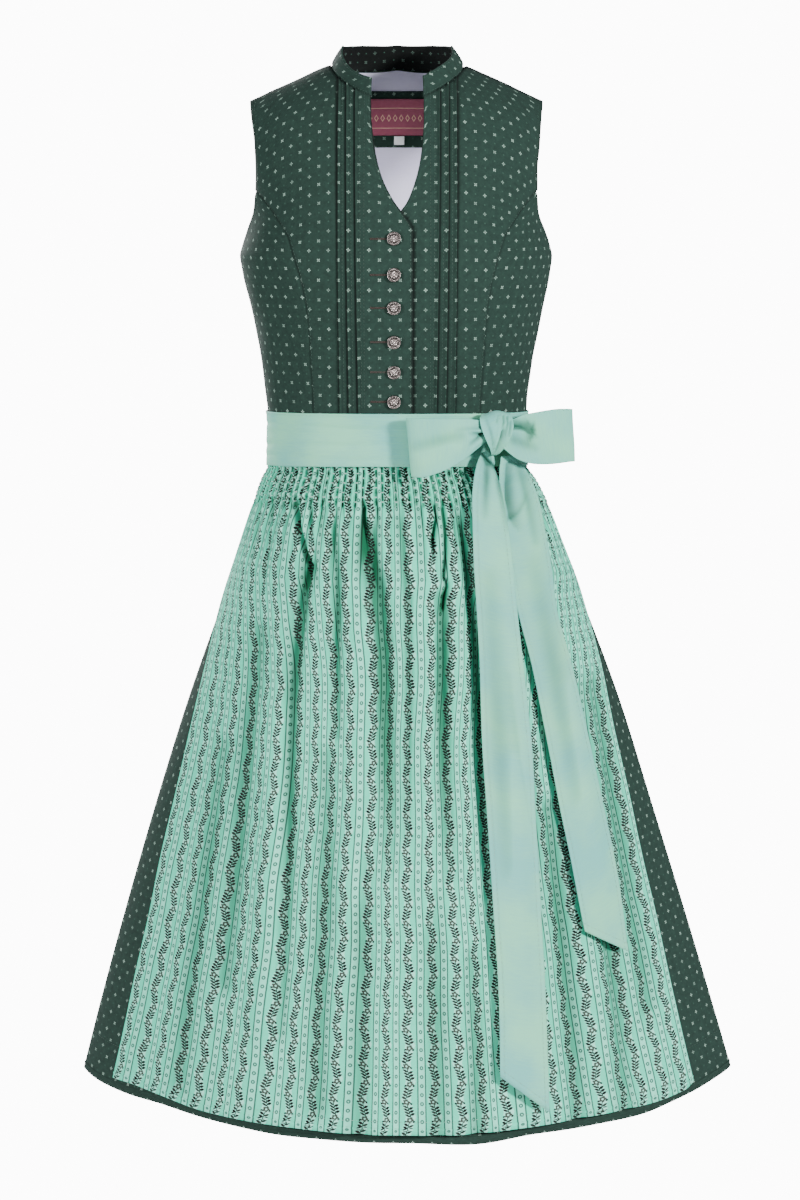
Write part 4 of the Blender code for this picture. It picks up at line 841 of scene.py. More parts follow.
def centreFront(side):
    size, spans = bodice, bodice["spans"]
    span = np.array([place for place, count in enumerate(spans) for _ in range(count)] + [len(spans) - 1])
    part = np.array([step / count for count in spans for step in range(count)] + [1.0])
    column = np.arange(len(span))

    def acrossAt(row):
        lines = frontAnchors(row, side)
        return side * (lines[span, column] * (1 - part) + lines[span + 1, column] * part)

    tops = columnTops(acrossAt, True, len(span))
    rows = spreadRows(np.linspace(body["waist"] * mm, body["shoulder"] * mm, size["rows"]), tops)
    across = np.array([acrossAt(row) for row in rows])
    points = bodicePoints(rows, turnAt(rows, across), True)
    if side > 0:  # the wearer's left laps under
        lapped = smoothStep(across, size["lapFrom"] * mm, size["lapTo"] * mm)
        points[..., 1] += body["lap"] * mm * lapped * smoothStep(
            rows, size["lapBelow"] * mm, size["lapFull"] * mm)
    place = flatCloth(points, spans[0])
    lift = size["swell"] * mm * ripple(points, size["swellLength"], 3 + side)

    ends = smoothStep(rows, (size["tuckFoot"] - size["tuckFade"]) * mm, size["tuckFoot"] * mm)
    # painted shade in the tuck grooves and behind the tucks, and along the princess seam
    paintedShade = 0
    for tuck in size["tucks"]:
        beside = (np.abs(across) - tuckAt(rows, tuck)) / (size["tuckHalf"] * mm)
        groove = np.exp(-((beside - size["grooveAt"]) / size["grooveHalf"]) ** 2)
        ridge = smoothStep(beside, -1, 0.35) * smoothStep(beside, 0.75, 0.35) - size["grooveDepth"] * groove
        lift += size["tuckHeight"] * mm * ends * ridge
        behind = np.exp(-((beside + 1.1) / 0.4) ** 2)
        paintedShade = paintedShade + 0.95 * groove * (0.35 + 0.65 * ends) + 0.25 * ends * behind
    lift -= rollEdges(place, (-1,)) * (rows < size["princessTop"] * mm)
    outer = place[:, -1:, 0] - place[..., 0]
    paintedShade = paintedShade + 0.35 * np.exp(-(outer / (0.9 * mm)) ** 2)

    inner = np.abs(place[..., 0] - place[:, :1, 0])
    if side < 0:  # the piped edge of the front that laps over, with painted shade along it
        pipe = np.exp(-((inner / mm - size["pipeAt"]) / size["pipeHalf"]) ** 2)
        lift += size["pipeHeight"] * mm * pipe
        paintedShade = paintedShade + size["lapShade"] * smoothStep(inner, 1.1 * mm, 0.7 * mm)
    else:  # the front below it, with painted shade where the lapping front shades it, and above the crossing painted shade along its own edge
        high, low = [height * mm for height in size["crossing"]]
        edge = frontEdgeForm.read("right", rows)
        shade = smoothStep(across - edge, 2.6 * mm, 0.3 * mm)
        paintedShade = paintedShade + size["lapShade"] * shade * smoothStep(rows, high, low)
        paintedShade = paintedShade + size["neckShade"] * smoothStep(inner, 0.9 * mm, 0.3 * mm) * smoothStep(rows, low, high)

    name = f"centreFront{sideName[side].title()}"
    item = cloth(name, points + facing(points) * lift[..., None], place, "green", size["shell"], paintedShade=paintedShade)
    flat, area = cutSize(points)
    dress(item, [f"bodice_centre_front_{sideName[side]}"], flat,
          area)


def sideFront(side):
    size = sideBodice
    top = bodice["princessTop"]
    rows = np.linspace(body["waist"], top + 3.0, size["rows"]) * mm
    seam = princessAt(np.minimum(rows, (top + 0.5) * mm), side)
    start = turnAt(rows, seam - size["underlap"] * mm)
    turns = start[:, None] + (1 - start[:, None]) * np.linspace(0, 1, size["columns"])[None]
    rows = np.broadcast_to(rows[:, None], turns.shape)
    points = bodicePoints(rows, side * turns, True)
    place = flatCloth(points, size["straight"])
    place += np.array(size["printShift"]) * mm
    lift = bodice["swell"] * mm * ripple(points, bodice["swellLength"], 7 + side) - rollEdges(place, (-1,))
    inside = seam[:, None] - np.abs(points[..., 0])
    lift -= size["underSink"] * mm * smoothStep(inside, -1.2 * mm, 0.3 * mm)
    lift -= size["underSink"] * mm * smoothStep(rows, (top - 1) * mm, (top + 1) * mm)
    bound = np.abs(place[:, -1:, 0] - place[..., 0])
    armhole = smoothStep(rows, *[height * mm for height in size["armholeFoot"]])
    binding = smoothStep(bound, *[reach * mm for reach in size["binding"]])
    # painted shade along the princess seam and the armhole binding
    paintedShade = 0.3 * np.exp(-(inside / (1.0 * mm)) ** 2) + size["bindingShade"] * armhole * binding
    name = f"sideFront{sideName[side].title()}"
    item = cloth(name, points + facing(points) * lift[..., None], place, "green", bodice["shell"], paintedShade=paintedShade)
    flat, area = cutSize(points)
    dress(item, [f"bodice_side_front_{sideName[side]}"], flat,
          area)


def backGrid(turns, rows):
    def acrossAt(row):
        return bodicePoints(row, turns, False)[..., 0]

    tops = columnTops(acrossAt, False, len(turns))
    spread = spreadRows(rows, tops)
    return bodicePoints(spread, np.broadcast_to(turns, spread.shape), False)


back = {
    "columns": 121, "straight": 60,
    # the princess seams: distance from the middle at the foot, how much more at the top, and their heights
    "seam": 62, "seamOut": 26, "seamRange": (-300, -90), "seamFade": (-70,
            -110), "seamDepth": 0.8, "seamHalf": 1.3,
}


def backBodice():
    size = back
    turns = np.linspace(-1, 1, size["columns"])
    points = backGrid(turns, np.linspace(body["waist"] * mm, body["shoulder"] * mm, bodice["rows"]))
    place = flatCloth(points, size["straight"])
    lift = bodice["swell"] * mm * ripple(points, bodice["swellLength"], 11) - rollEdges(place, (0, -1))
    start, end, high, low = [height * mm for height in size["seamRange"] + size["seamFade"]]
    for side in sideName:
        seam = side * (size["seam"] + size["seamOut"] * smoothStep(points[..., 2], start, end)) * mm
        fade = smoothStep(points[..., 2], high, low)
        pressed = np.exp(-((points[..., 0] - seam) / (size["seamHalf"] * mm)) ** 2)
        lift -= size["seamDepth"] * mm * fade * pressed
    item = cloth("backBodice", points + facing(points) * lift[..., None], place, "green", bodice["shell"])
    flat, area = cutSize(points)
    dress(item, ["bodice_back"], flat, area)


lining = {
    "columns": 90, "rows": 70, "depth": 2.5, "shell": 0.8, "foot": -230, "top": -17, "side": 0.875,
    "swell": 0.35, "swellLength": 34,
}


def backLining():
    size = lining
    turns = np.linspace(-size["side"], size["side"], size["columns"])
    points = backGrid(turns, np.linspace(size["foot"], size["top"], size["rows"]) * mm)
    place = flatCloth(points, size["columns"] // 2)
    lift = size["swell"] * mm * ripple(points, size["swellLength"], 21) - size["depth"] * mm
    item = cloth("backLining", points + facing(points) * lift[..., None], place, "lavender", size["shell"],
                 inward=True)
    flat, area = cutSize(points)
    dress(item, ["bodice_back_lining"], flat, area)


neckPieces = {
    "neckPatch": {"node": "neck_patch", "slot": "dark_green_cotton", "finish": "green", "depth": 4.4,
                  "from": -48, "to": 48, "top": -1, "foot": -57, "puff": 0.25, "grid": (48, 40)},
    "neckLabel": {"node": "neck_label", "slot": "mauve_label", "finish": "mauve", "depth": 6.3,
                  "from": -31, "to": 31, "top": -8, "foot": -44.5, "puff": 0.35, "grid": (44, 32)},
    "sizeTab": {"node": "size_tab", "slot": "white_tape", "finish": "white", "depth": 6.3,
                "from": -3.5, "to": 7, "top": -45.5, "foot": -54, "puff": 0.1, "grid": (14, 12)},
}


def neckPiece(name):
    size = neckPieces[name]
    columns, rows = size["grid"]
    across = np.broadcast_to(np.linspace(size["from"], size["to"], columns) * mm, (rows, columns))
    height = np.linspace(size["foot"], size["top"], rows)[:, None] * mm
    goal = np.broadcast_to(height, across.shape).ravel()

    def lower(row):
        return bodicePoints(row, turnAt(row, across.ravel()), False)[..., 2] < goal

    found = halve(lower, body["waist"] * mm, -20 * mm, across.size).reshape(across.shape)
    points = bodicePoints(found, turnAt(found, across), False)
    place = flatCloth(points, columns // 2)
    edge = np.minimum(np.minimum(np.arange(columns), np.arange(columns)[::-1])[None],
                      np.minimum(np.arange(rows), np.arange(rows)[::-1])[:, None])
    sink = size["depth"] * mm - size["puff"] * mm * (1 - np.minimum(edge / 2.5, 1))
    shaped = points - facing(points) * sink[..., None]
    item = cloth(name, shaped, place, size["finish"], 0.7, inward=True)
    flat, area = cutSize(points)
    flat = (flat[0], max(flat[1], 0.010))  # the tab's end is tucked under the label
    dress(item, [size["node"]], flat, area)


collar = {
    "gap": 0.9, "shell": 1.4, "corner": 3.5, "columns": 160, "rows": 22, "startRow": -36,
    "bow": 0.5, "swell": 0.3, "swellLength": 30, "tuck": 2.6, "tuckTop": 0.12, "tuckIn": 0.35,
}


def necklinePoints(part):
    # round the neck hole's edge from the front corner (0) to the middle of the back (1)
    corner = abs(frontEdgeForm.read("right", collar["startRow"] * mm))
    start = math.asin(corner / (body["neckHalf"] * mm))
    angle = start + (math.pi - start) * part
    front = angle < math.pi / 2
    across = body["neckHalf"] * mm * np.sin(angle)
    goal = body["neckMiddle"] * mm - np.where(front, body["neckFront"], body["neckBack"]) * mm * np.cos(angle)

    def short(row):
        ahead = bodicePoints(row, turnAt(row, across), True)[..., 1]
        behind = bodicePoints(row, turnAt(row, across), False)[..., 1]
        return np.where(front, ahead < goal, behind > goal)

    row = halve(short, body["neckLow"] * mm, body["shoulder"] * mm, len(part))
    turn = turnAt(row, across)
    height = np.where(front, bodicePoints(row, turn, True)[..., 2], bodicePoints(row, turn, False)[..., 2])
    return stack(across, goal, height)


def standCollar():
    size = collar
    part = np.linspace(-1, 1, size["columns"])
    rounded = 1 - np.abs(part)
    base = necklinePoints(rounded)
    base[:, 0] *= np.sign(part)
    inward = np.stack((-base[:, 0], body["neckMiddle"] * mm - base[:, 1], np.zeros(len(part))), -1)
    inward /= np.linalg.norm(inward, axis=1, keepdims=True)
    climb = np.linspace(0, 1, size["rows"])[:, None, None]
    height = np.where(part > 0, collarForm.read("left", rounded), collarForm.read("right", rounded))
    lean = collarForm.read("lean", rounded)[None, :, None]
    tucked = size["tuck"] * mm * smoothStep(climb, size["tuckTop"], 0)
    points = base[None] + inward[None] * (lean * climb + size["tuckIn"] * tucked)
    points[..., 2] += (size["gap"] * mm + height[None, :, None] * climb - tucked)[..., 0]
    place = flatCloth(points, size["columns"] // 2)
    reach = np.abs(place[..., 0]).max() - np.abs(place[..., 0])
    cut = size["corner"] * mm * np.maximum(1 - reach / (size["corner"] * mm), 0) ** 2
    points[..., 2] -= cut * climb[..., 0] ** 3
    swell = size["swell"] * mm * ripple(points, size["swellLength"], 31)
    bowed = size["bow"] * mm * np.sin(climb[..., 0] * math.pi) + swell
    item = cloth("standCollar", points + facing(points) * bowed[..., None], place, "green", size["shell"])
    # the inner faces of the shell take the darker copy, as painted shade
    item.data.materials.append(finishes["inside"])
    item.modifiers["shell"].material_offset = 1
    flat, area = cutSize(points)
    dress(item, ["collar"], flat, area)


for side in sideName:
    centreFront(side)
for side in sideName:
    sideFront(side)
backBodice()
backLining()
for name in neckPieces:
    neckPiece(name)
standCollar()
print("bodice sewn")


# Skirt and apron

skirt = {
    "columns": 240, "rows": 110, "flatHalf": {"front": 390,
                                              "back": 430}, "lap": 1.6, "lapIn": 0.7, "length": 705, "hemTurn": 7,
    "frontWave": 2.2, "backWave": 7.0, "waves": ((9, 0.6, 0.55),
                                                 (5, 2.4, 0.45)), "sink": 1.8, "behindApron": 6.0,
    "gathers": ((61, 0.3, 1.0), (43, 1.7, 0.9), (29, 4.0, 0.8)), "gatherDepth": 2.6, "gatherFade": (0.05,
            0.62),
}


def evenFromAhead(points, share):
    # share of the flat width. The cloth is drawn less together at the sides than in the middle
    row = int(0.75 * len(points))
    ahead = np.interp(share, share[row], points[row, :, 0] / np.abs(points[row, [0, -1], 0]).mean())
    return 0.4 * share + 0.6 * ahead


def skirtPanel(front):
    size = skirt
    half = skirtFront if front else skirtBack
    share = np.linspace(-1, 1, size["columns"] + 1)[None]
    down = np.linspace(0, 1, size["rows"] + 1)[:, None] ** 1.15
    top = body["skirtTop"] * mm
    hem = skirtHemForm.read("front" if front else "back", share)
    height = top + (hem - top) * down
    share = np.broadcast_to(share, height.shape)
    points = half.points(height, share)
    total = sum(weight * np.sin(count * math.pi * (share + 1) + start) for count, start,
                weight in size["waves"])
    wave = size["frontWave" if front else "backWave"] * mm * smoothStep(down, 0.03, 0.75)
    depth = wave * (total * (1 - share ** 8) - (1.0 if front else 0.0)) / 2
    way = stack(points[..., 0], points[..., 1] * 1.6, 0 * height)
    way /= np.linalg.norm(way, axis=2, keepdims=True)
    lift = depth * (1 - np.abs(share) ** 12) - size["sink"] * mm * smoothStep(down, 0.3, 0.1)
    fade = 1 - smoothStep(down, *size["gatherFade"])
    gather = sum(weight * np.sin(count * math.pi * (share + 1) + start + 1.2 * np.sin(5 * share + 3 * down))
                 for count, start, weight in size["gathers"])
    lift = lift + size["gatherDepth"] * mm * (0.25 + 0.75 * smoothStep(down, 0,
            0.05)) * fade * gather / 2.7 * (
        1 - np.abs(share) ** 20) * (0.35 if front else 1.0)
    if front:
        lift = lift - size["behindApron"] * mm * smoothStep(np.abs(share), 0.86, 0.7) * smoothStep(down, 1.0,
                0.9)
    lift = lift + 0.6 * mm * ripple(points, 90, 41 + front) * smoothStep(down, 0.1, 0.4) * (1 - share ** 8)
    flatHalf = size["flatHalf"]["front" if front else "back"] * mm
    across = evenFromAhead(points, share) if front else share
    place = np.stack((across * flatHalf + 0.003, (1 - down) * size["length"] * mm + 0 * share), -1)
    points = points + way * lift[..., None]
    if not front:  # the side seams lap under the front
        points[:, [0, -1]] += np.array([[size["lapIn"], -size["lap"], 0],
                                        [-size["lapIn"], -size["lap"], 0]]) * mm
    turned = points[-1:] + facing(points)[-1:] * -0.9 * mm
    tucked = turned + np.array([0, 0, size["hemTurn"] * mm])
    low = place[-1:] - np.array([0, 0.001])
    points = np.concatenate((points, turned - np.array([0, 0, 0.5 * mm]), tucked))
    place = np.concatenate((place, low, low - np.array([0, size["hemTurn"] * mm])))
    name = "frontSkirt" if front else "backSkirt"
    item = cloth(name, points, place, "green")
    node = "skirt_front" if front else "skirt_back"
    flat = (2 * flatHalf, (size["length"] + size["hemTurn"]) * mm)
    dress(item, [node], flat, 0.72 * flat[0] * flat[1])


apron = {
    "columns": 488, "smockRows": 56, "rows": 140, "stripes": 26, "length": 625, "hemTurn": 6,
    "edgeStand": 2.6, "stand": 9.0, "pleats": 61, "smockDepth": 35, "pleatHeight": 3.4, "stitchRows": 8, "shift": 0.45,
    "deeper": 2.1, "crease": 1.35, "takenUp": ((25, 0.7, 1.7), (41, 2.1, 0.8)),
}
# long soft folds, and below them the sharp creases that run out of the smocking: half width on the
# left and right of the way down, then x, z and depth of each point
apronFolds = (
    (5, 8, (-79.8, -461, 2.5), (-86, -486, 3.4), (-92, -537, 3.2), (-96, -579, 3.0), (-98, -628, 2.8),
     (-99, -701, 2.6),
     (-104, -812, 1.8), (-108, -895, 0.9)),
    (7, 9, (-28, -425, 2.8), (-25, -452, 5), (-18, -480, 4.6), (-13, -526, 4.2), (-11, -582, 3.8),
     (-10, -637, 3.0),
     (-8, -690, 1.6), (-8, -740, 0.5)),
    (6, 8, (43, -489, 2.6), (42, -537, 4.2), (42, -582, 4.2), (43, -637, 3.2), (46, -702, 1.8),
     (48, -748, 0.6)),
    (6, 6, (57, -394, 2), (61, -425, 2.4), (67, -471, 2.6), (73, -526, 2.6), (77, -582, 2.4),
     (80, -674, 1.8), (85, -766, 1)),
    (4, 5, (-60, -394, 2.4), (-59, -416, 1.4), (-56, -463, 2.4), (-55, -508, 3.0), (-55, -563, 2.4),
     (-56, -618, 1.4)),
    (3, 4, (0, -394, 3), (1, -411, 2.2), (4, -434, 1.4), (10, -489, 2.0), (11, -563, 2.2), (10, -637, 1.8),
     (9, -711, 0.8)),
    (8, 8, (-129, -526, 1.6), (-140, -637, 2.2), (-151, -748, 2.2), (-163, -858, 1.4)),
    (8, 8, (-164, -637, 1.2), (-180, -748, 1.9), (-195, -858, 1.7), (-207, -960, 1.4)),
    (9, 9, (-64, -637, 1), (-66, -748, 2), (-72, -858, 1.8), (-75, -960, 1.6)),
    (8, 8, (-31, -729, 1), (-32, -821, 1.8), (-34, -914, 1.6), (-35, -985, 1.4)),
    (9, 8, (31, -766, 1), (35, -858, 1.8), (37, -932, 1.6), (38, -985, 1.4)),
    (7, 7, (69, -821, 1.2), (73, -914, 1.8), (74, -985, 1.6)),
    (8, 9, (188, -582, 1.6), (204, -674, 2.3), (223, -784, 2.1), (240, -895, 1.7)),
    (8, 9, (169, -582, 1.2), (183, -692, 2.3), (198, -803, 2.4), (210, -904, 1.8), (216, -985, 1.4)),
    (8, 8, (140, -692, 1.8), (151, -784, 2.5), (160, -877, 2.1), (166, -950, 1.7), (168, -985, 1.6)),
    (6, 6, (121, -637, 1.5), (126, -766, 1.7), (128, -860, 1.2)),
    (12, 12, (-114, -600, -1.6), (-122, -760, -1.8), (-130, -900, -1.2)),
    (12, 12, (-36, -520, -1.6), (-36, -620, -1.8), (-44, -760, -1.4)),
    (11, 11, (26, -520, -1.8), (26, -640, -1.8), (22, -780, -1.2)),
)
apronCreases = (
    (1.3, 3.6, (-94, -394, 3), (-94, -407, 5.4), (-86, -440, 6.4), (-80, -461, 5), (-84, -480, 2)),
    (2.2, 2.0, (-30, -394, 3.4), (-31, -408, 4.6), (-30, -430, 3.4), (-28, -455, 1)),
    (1.9, 1.5, (32, -394, 3.2), (36, -414, 5.2), (32, -435, 4.2), (33, -452, 1.8)),
    (1.5, 2.6, (41, -392, 2.2), (44, -425, 3), (44, -450, 4), (43, -469, 5.2), (46, -477, 4.6),
     (42, -500, 3)),
    (1.5, 1.9, (-117, -392, 3.4), (-117, -414, 3.2), (-119, -439, 1.8), (-125, -489, 0.8)),
    (1.4, 1.4, (-108, -393, 3), (-106, -408, 2.4), (-104, -425, 1)),
    (1.4, 1.9, (-82, -393, 3), (-81, -410, 2.6), (-77, -439, 1.5), (-73, -480, 0.6)),
    (1.4, 1.4, (-70, -393, 3.6), (-71, -411, 2.6), (-73, -430, 1)),
    (1.4, 1.4, (-51, -393, 2.6), (-50, -408, 1.8), (-49, -425, 0.6)),
    (1.3, 1.3, (-40, -393, 2.4), (-40, -409, 1.2)),
    (1.4, 1.4, (-19, -393, 3), (-18, -410, 2), (-16, -430, 0.8)),
    (1.3, 1.3, (-11, -393, 2.4), (-10, -407, 1)),
    (1.3, 1.3, (11, -393, 2.6), (12, -408, 1.5)),
    (1.5, 1.5, (21, -393, 3), (22, -411, 2.3), (24, -434, 1.3), (26, -471, 0.6)),
    (1.6, 1.6, (49, -393, 3.2), (51, -416, 2.6), (55, -452, 1.5)),
    (1.5, 1.5, (-128, -392, 2.6), (-131, -420, 2.4), (-137, -460, 1.2)),
    (1.4, 1.4, (-135, -392, 2.2), (-140, -425, 1.4), (-148, -470, 0.6)),
    (1.4, 1.4, (-99, -393, 2.2), (-99, -404, 1)),
    (1.5, 1.5, (78, -393, 3), (80, -430, 2), (84, -480, 1)),
    (1.5, 1.5, (94, -393, 3), (98, -430, 2.2), (106, -500, 1.2)),
    (1.5, 1.5, (108, -393, 3), (113, -420, 2.2), (122, -470, 1)),
    (1.5, 1.5, (122, -393, 3), (127, -415, 2), (134, -455, 0.8)),
    (1.4, 1.4, (133, -393, 2.4), (140, -425, 1.4), (152, -490, 0.6)),
)


def gathered(down, share):
    # cloth is gathered more closely at the sides of the smocking than in its middle
    return share + apron["shift"] * smoothStep(down, 0.5, 0) * share * (1 - np.abs(share))


def frontTop(share):
    return (body["smockTop"] + body["frontRise"] * (1 - gathered(0, share) ** 2)) * mm


def apronForm(down, share):
    # the apron's plain surface, its facing and the place along the half round
    height = frontTop(share) + (apronHemForm.read("height", share) - frontTop(share)) * down
    ends = [np.interp(height, *skirtFront.edgeShares(apronInset, side)) for side in ("right", "left")]
    along = ends[0] + (ends[1] - ends[0]) * (gathered(down, share) + 1) / 2
    points = skirtFront.points(height, along)
    stand = apron["edgeStand"] + (apron["stand"] - apron["edgeStand"]) * (1 - along ** 4) * smoothStep(down,
            0.0, 0.12)
    way = stack(points[..., 0], points[..., 1] * 1.5, 0 * height)
    way /= np.linalg.norm(way, axis=2, keepdims=True)
    return points, way, stand * mm


def smockPleats(down, share, below):
    # round pleats, drawn together in pairs by rows of stitches that change places from row to row
    count = apron["pleats"] * (gathered(down, share) + 1) / 2
    row = below / (apron["smockDepth"] * mm) * apron["stitchRows"]
    pleat = np.abs(np.sin(count * math.pi)) ** 1.1
    stitched = np.exp(-((row - np.floor(row) - 0.5) / 0.22) ** 2)
    pair = (np.floor(count + 0.5) + np.floor(row)) % 2
    valley = (1 - pleat) ** 0.9
    ends = smoothStep(1 - np.abs(share), 0, 0.05)
    lift = apron["pleatHeight"] * mm * (pleat - 0.5 + stitched * (0.55 * pair * valley - 0.25 * pleat)) * ends
    # the second value is painted shade in the pleat valleys and under the stitches
    return lift, ends * np.clip(valley * (0.9 - 0.6 * stitched * pair) + 0.35 * stitched * (1 - pair) * valley ** 0.5, 0, 1)


def smockedApron():
    size = apron
    even = np.linspace(-1, 1, size["columns"] + 1)
    gather = size["shift"]
    share = np.sign(even) * (1 + gather - np.sqrt((1 + gather) ** 2 - 4 * gather * np.abs(even))) / (2 * gather)
    length = (body["smockTop"] * mm - apronHemForm.read("height", 0.0))
    foot = size["smockDepth"] * mm / length
    down = np.concatenate((np.linspace(0, foot, size["smockRows"], endpoint=False),
                           foot + (1 - foot) * np.linspace(0, 1, size["rows"]) ** 1.35))[:, None]
    share, down = np.broadcast_arrays(share[None], down)
    points, way, stand = apronForm(down, share)
    below = frontTop(share) - points[..., 2]
    edges = smoothStep(1 - np.abs(share), 0, 0.06)
    smocked = smoothStep(below, (size["smockDepth"] + 5) * mm, size["smockDepth"] * mm)
    fold = size["deeper"] * dents(points, apronFolds) * edges * smoothStep(below, 0.03, 0.06)
    crease = size["crease"] * dents(points, apronCreases) * edges * smoothStep(below, 0.026, 0.04)
    pleat, valley = [smocked * part for part in smockPleats(down, share, below)]
    # small gathers between the creases, that run out of the pleats
    loose = (1 - smocked) * smoothStep(below, 0.14, 0.04) * edges
    small = loose * 1.0 * mm * np.cos(size["pleats"] * 0.5 * math.pi * (gathered(down,
            share) + 1) + 4 * share)
    lift = stand - fold - crease + pleat + small + 0.8 * mm * ripple(points, 80, 51) * smoothStep(down, 0.1,
            0.3) * edges
    # painted shade in the folds, creases, pleat valleys and small gathers
    paintedShade = 0.85 * np.clip(fold / (6 * mm), 0, 1) ** 0.8 + 0.8 * np.clip(crease / (5 * mm), 0,
            1) + 0.95 * valley
    paintedShade = paintedShade + 0.4 * np.clip(-small / mm, 0, 1)
    plain = points
    points = points + way * lift[..., None]
    points[..., 1] = np.where(np.abs(share) > 0.999, np.minimum(points[..., 1], -0.5 * mm), points[..., 1])
    flatHalf = size["stripes"] * mintCotton["stripe"] / 2 * mm
    across = evenFromAhead(plain, share) * flatHalf
    for count, start, more in size["takenUp"]:  # folds take up more cloth in some places than in others
        across = across + more * mm * np.sin(count * share + start)
    place = np.stack((across, (1 - down) * size["length"] * mm), -1)
    turned = points[-1:] + facing(points)[-1:] * -0.8 * mm
    low = place[-1:] - np.array([0, 0.001])
    points = np.concatenate((points, turned - np.array([0, 0, 0.4 * mm]),
                             turned + np.array([0, 0, size["hemTurn"] * mm])))
    place = np.concatenate((place, low, low - np.array([0, size["hemTurn"] * mm])))
    paintedShade = np.concatenate((paintedShade, paintedShade[-1:], paintedShade[-1:]))
    item = cloth("smockedApron", points, place, "mint", paintedShade=paintedShade)
    flat = (2 * flatHalf, (size["length"] + size["hemTurn"]) * mm)
    dress(item, ["apron"], flat)
    return plain, way, lift, down, share


skirtPanel(True)
skirtPanel(False)
apronShape = smockedApron()
print("skirt and apron gathered")


# Waistband and tie

band = {"bottom": -372, "top": -318.5, "columns": 220, "rows": 36, "shell": 1.0, "crush": 0.5}
bandCreases = (  # height at the left and right ends, half width and depth
    (-330, -336, 2.4, 0.75), (-352, -345, 3.0, 0.9), (-362, -366, 2.2, 0.6), (-341, -330, 3.5, 0.5),
)


def bandPiece(front):
    size = band
    height = np.linspace(size["bottom"], size["top"], size["rows"])[:, None] * mm
    share = np.linspace(-1, 1, size["columns"])[None]
    height, share = np.broadcast_arrays(height, share)
    points = (bandFront if front else bandBack).points(height, share)
    climb = (height / mm - size["bottom"]) / (size["top"] - size["bottom"])
    if front:
        rise = body["frontRise"] + (body["bandRise"] - body["frontRise"]) * climb
        points[..., 2] += rise * mm * (1 - share ** 2)
    place = flatCloth(points, size["columns"] // 2)
    lift = 0.45 * mm * ripple(points, 42, 61 + front)
    for left, right, width, depth in bandCreases:
        line = left + (right - left) * (share + 1) / 2 + 1.5 * np.sin(7 * share)
        lift = lift - depth * mm * np.exp(-((height / mm - line) / width) ** 2) * (0.4 + 0.6 * np.abs(np.sin(5 * share + left)))
    rim = np.minimum(climb, 1 - climb) * (size["top"] - size["bottom"])
    lift = (lift - 0.25 * mm) * smoothStep(rim, 0, 4) + 0.25 * mm * (1 - smoothStep(rim, 0, 2))
    name = "apronBand" if front else "backTie"
    item = cloth(name, points + facing(points) * lift[..., None], place, "plain", size["shell"])
    flat, area = cutSize(points)
    node = "apron_waistband" if front else "apron_tie_back"
    dress(item, [node], flat, area)


bandPiece(True)
bandPiece(False)
print("band fitted")


# Bow

loopRows = {
    "bowLoopRight": (  # one edge x, y, z, the other edge x, y, z, bulge
        (86, -84.5, -321.5, 88, -84.0, -343.5, 0),
        (70, -94.5, -320.5, 72, -93.5, -352.0, 0),
        (45, -103.0, -319.8, 47, -103.0, -364.0, 0),
        (22, -106.0, -319.5, 26, -106.0, -372.0, 0),
        (11, -107.5, -319.2, 16, -107.5, -374.0, 0),
        (8.2, -111.0, -319.0, 13.4, -111.0, -374.6, 0),
        (11, -115.0, -319.0, 16, -115.0, -374.8, 0),
        (22, -118.0, -319.2, 26, -118.5, -374.6, 0.5),
        (44, -119.0, -319.4, 45, -119.0, -368.2, 0.5),
        (61, -114.0, -319.8, 61, -113.5, -359.6, -1.5),
        (74, -106.5, -320.8, 74, -106.0, -350.0, -4.0),
        (83, -99.0, -323.0, 84, -98.5, -342.5, -5.0),
    ),
    "bowLoopLeft": (
        (98, -77.5, -322.0, 98, -77.5, -345.0, 0),
        (112, -68.5, -320.5, 111, -68.0, -354.0, 0),
        (132, -58.0, -317.0, 130, -57.0, -364.0, 0),
        (153, -49.0, -314.2, 150, -48.5, -366.5, 0),
        (165, -44.0, -314.0, 167, -43.0, -366.0, 0),
        (170, -46.0, -314.2, 172.5, -45.0, -365.4, 0),
        (167, -52.0, -314.4, 170, -51.0, -365.0, 0),
        (153.6, -62.0, -313.8, 149, -63.5, -366.6, 0.8),
        (136, -72.0, -315.6, 130, -74.0, -365.4, 0),
        (122, -80.0, -317.6, 116, -82.5, -360.4, -2.5),
        (109, -88.0, -322.6, 105, -90.0, -352.0, -5.0),
        (101, -92.5, -325.0, 99.5, -93.5, -346.5, -5.0),
    ),
    "bowKnot": (
        (83, -84.0, -318.6, 106.5, -74.0, -318.4, 1.0),
        (82, -89.5, -316.4, 107, -79.5, -316.0, 2.0),
        (79.5, -97.5, -318.2, 109, -87.0, -317.2, 4.0),
        (78.5, -105.0, -321.5, 111.2, -94.0, -326.0, 5.0),
        (80.5, -108.0, -330.0, 109.5, -97.5, -334.5, 5.0),
        (84.5, -108.0, -340.0, 105.0, -99.0, -343.5, 4.0),
        (88.5, -104.5, -349.0, 100.8, -98.0, -350.0, 2.5),
        (90.0, -98.5, -354.5, 97.5, -94.5, -354.0, 1.0),
        (90.5, -90.0, -354.5, 97.0, -87.0, -354.0, 0.5),
    ),
}
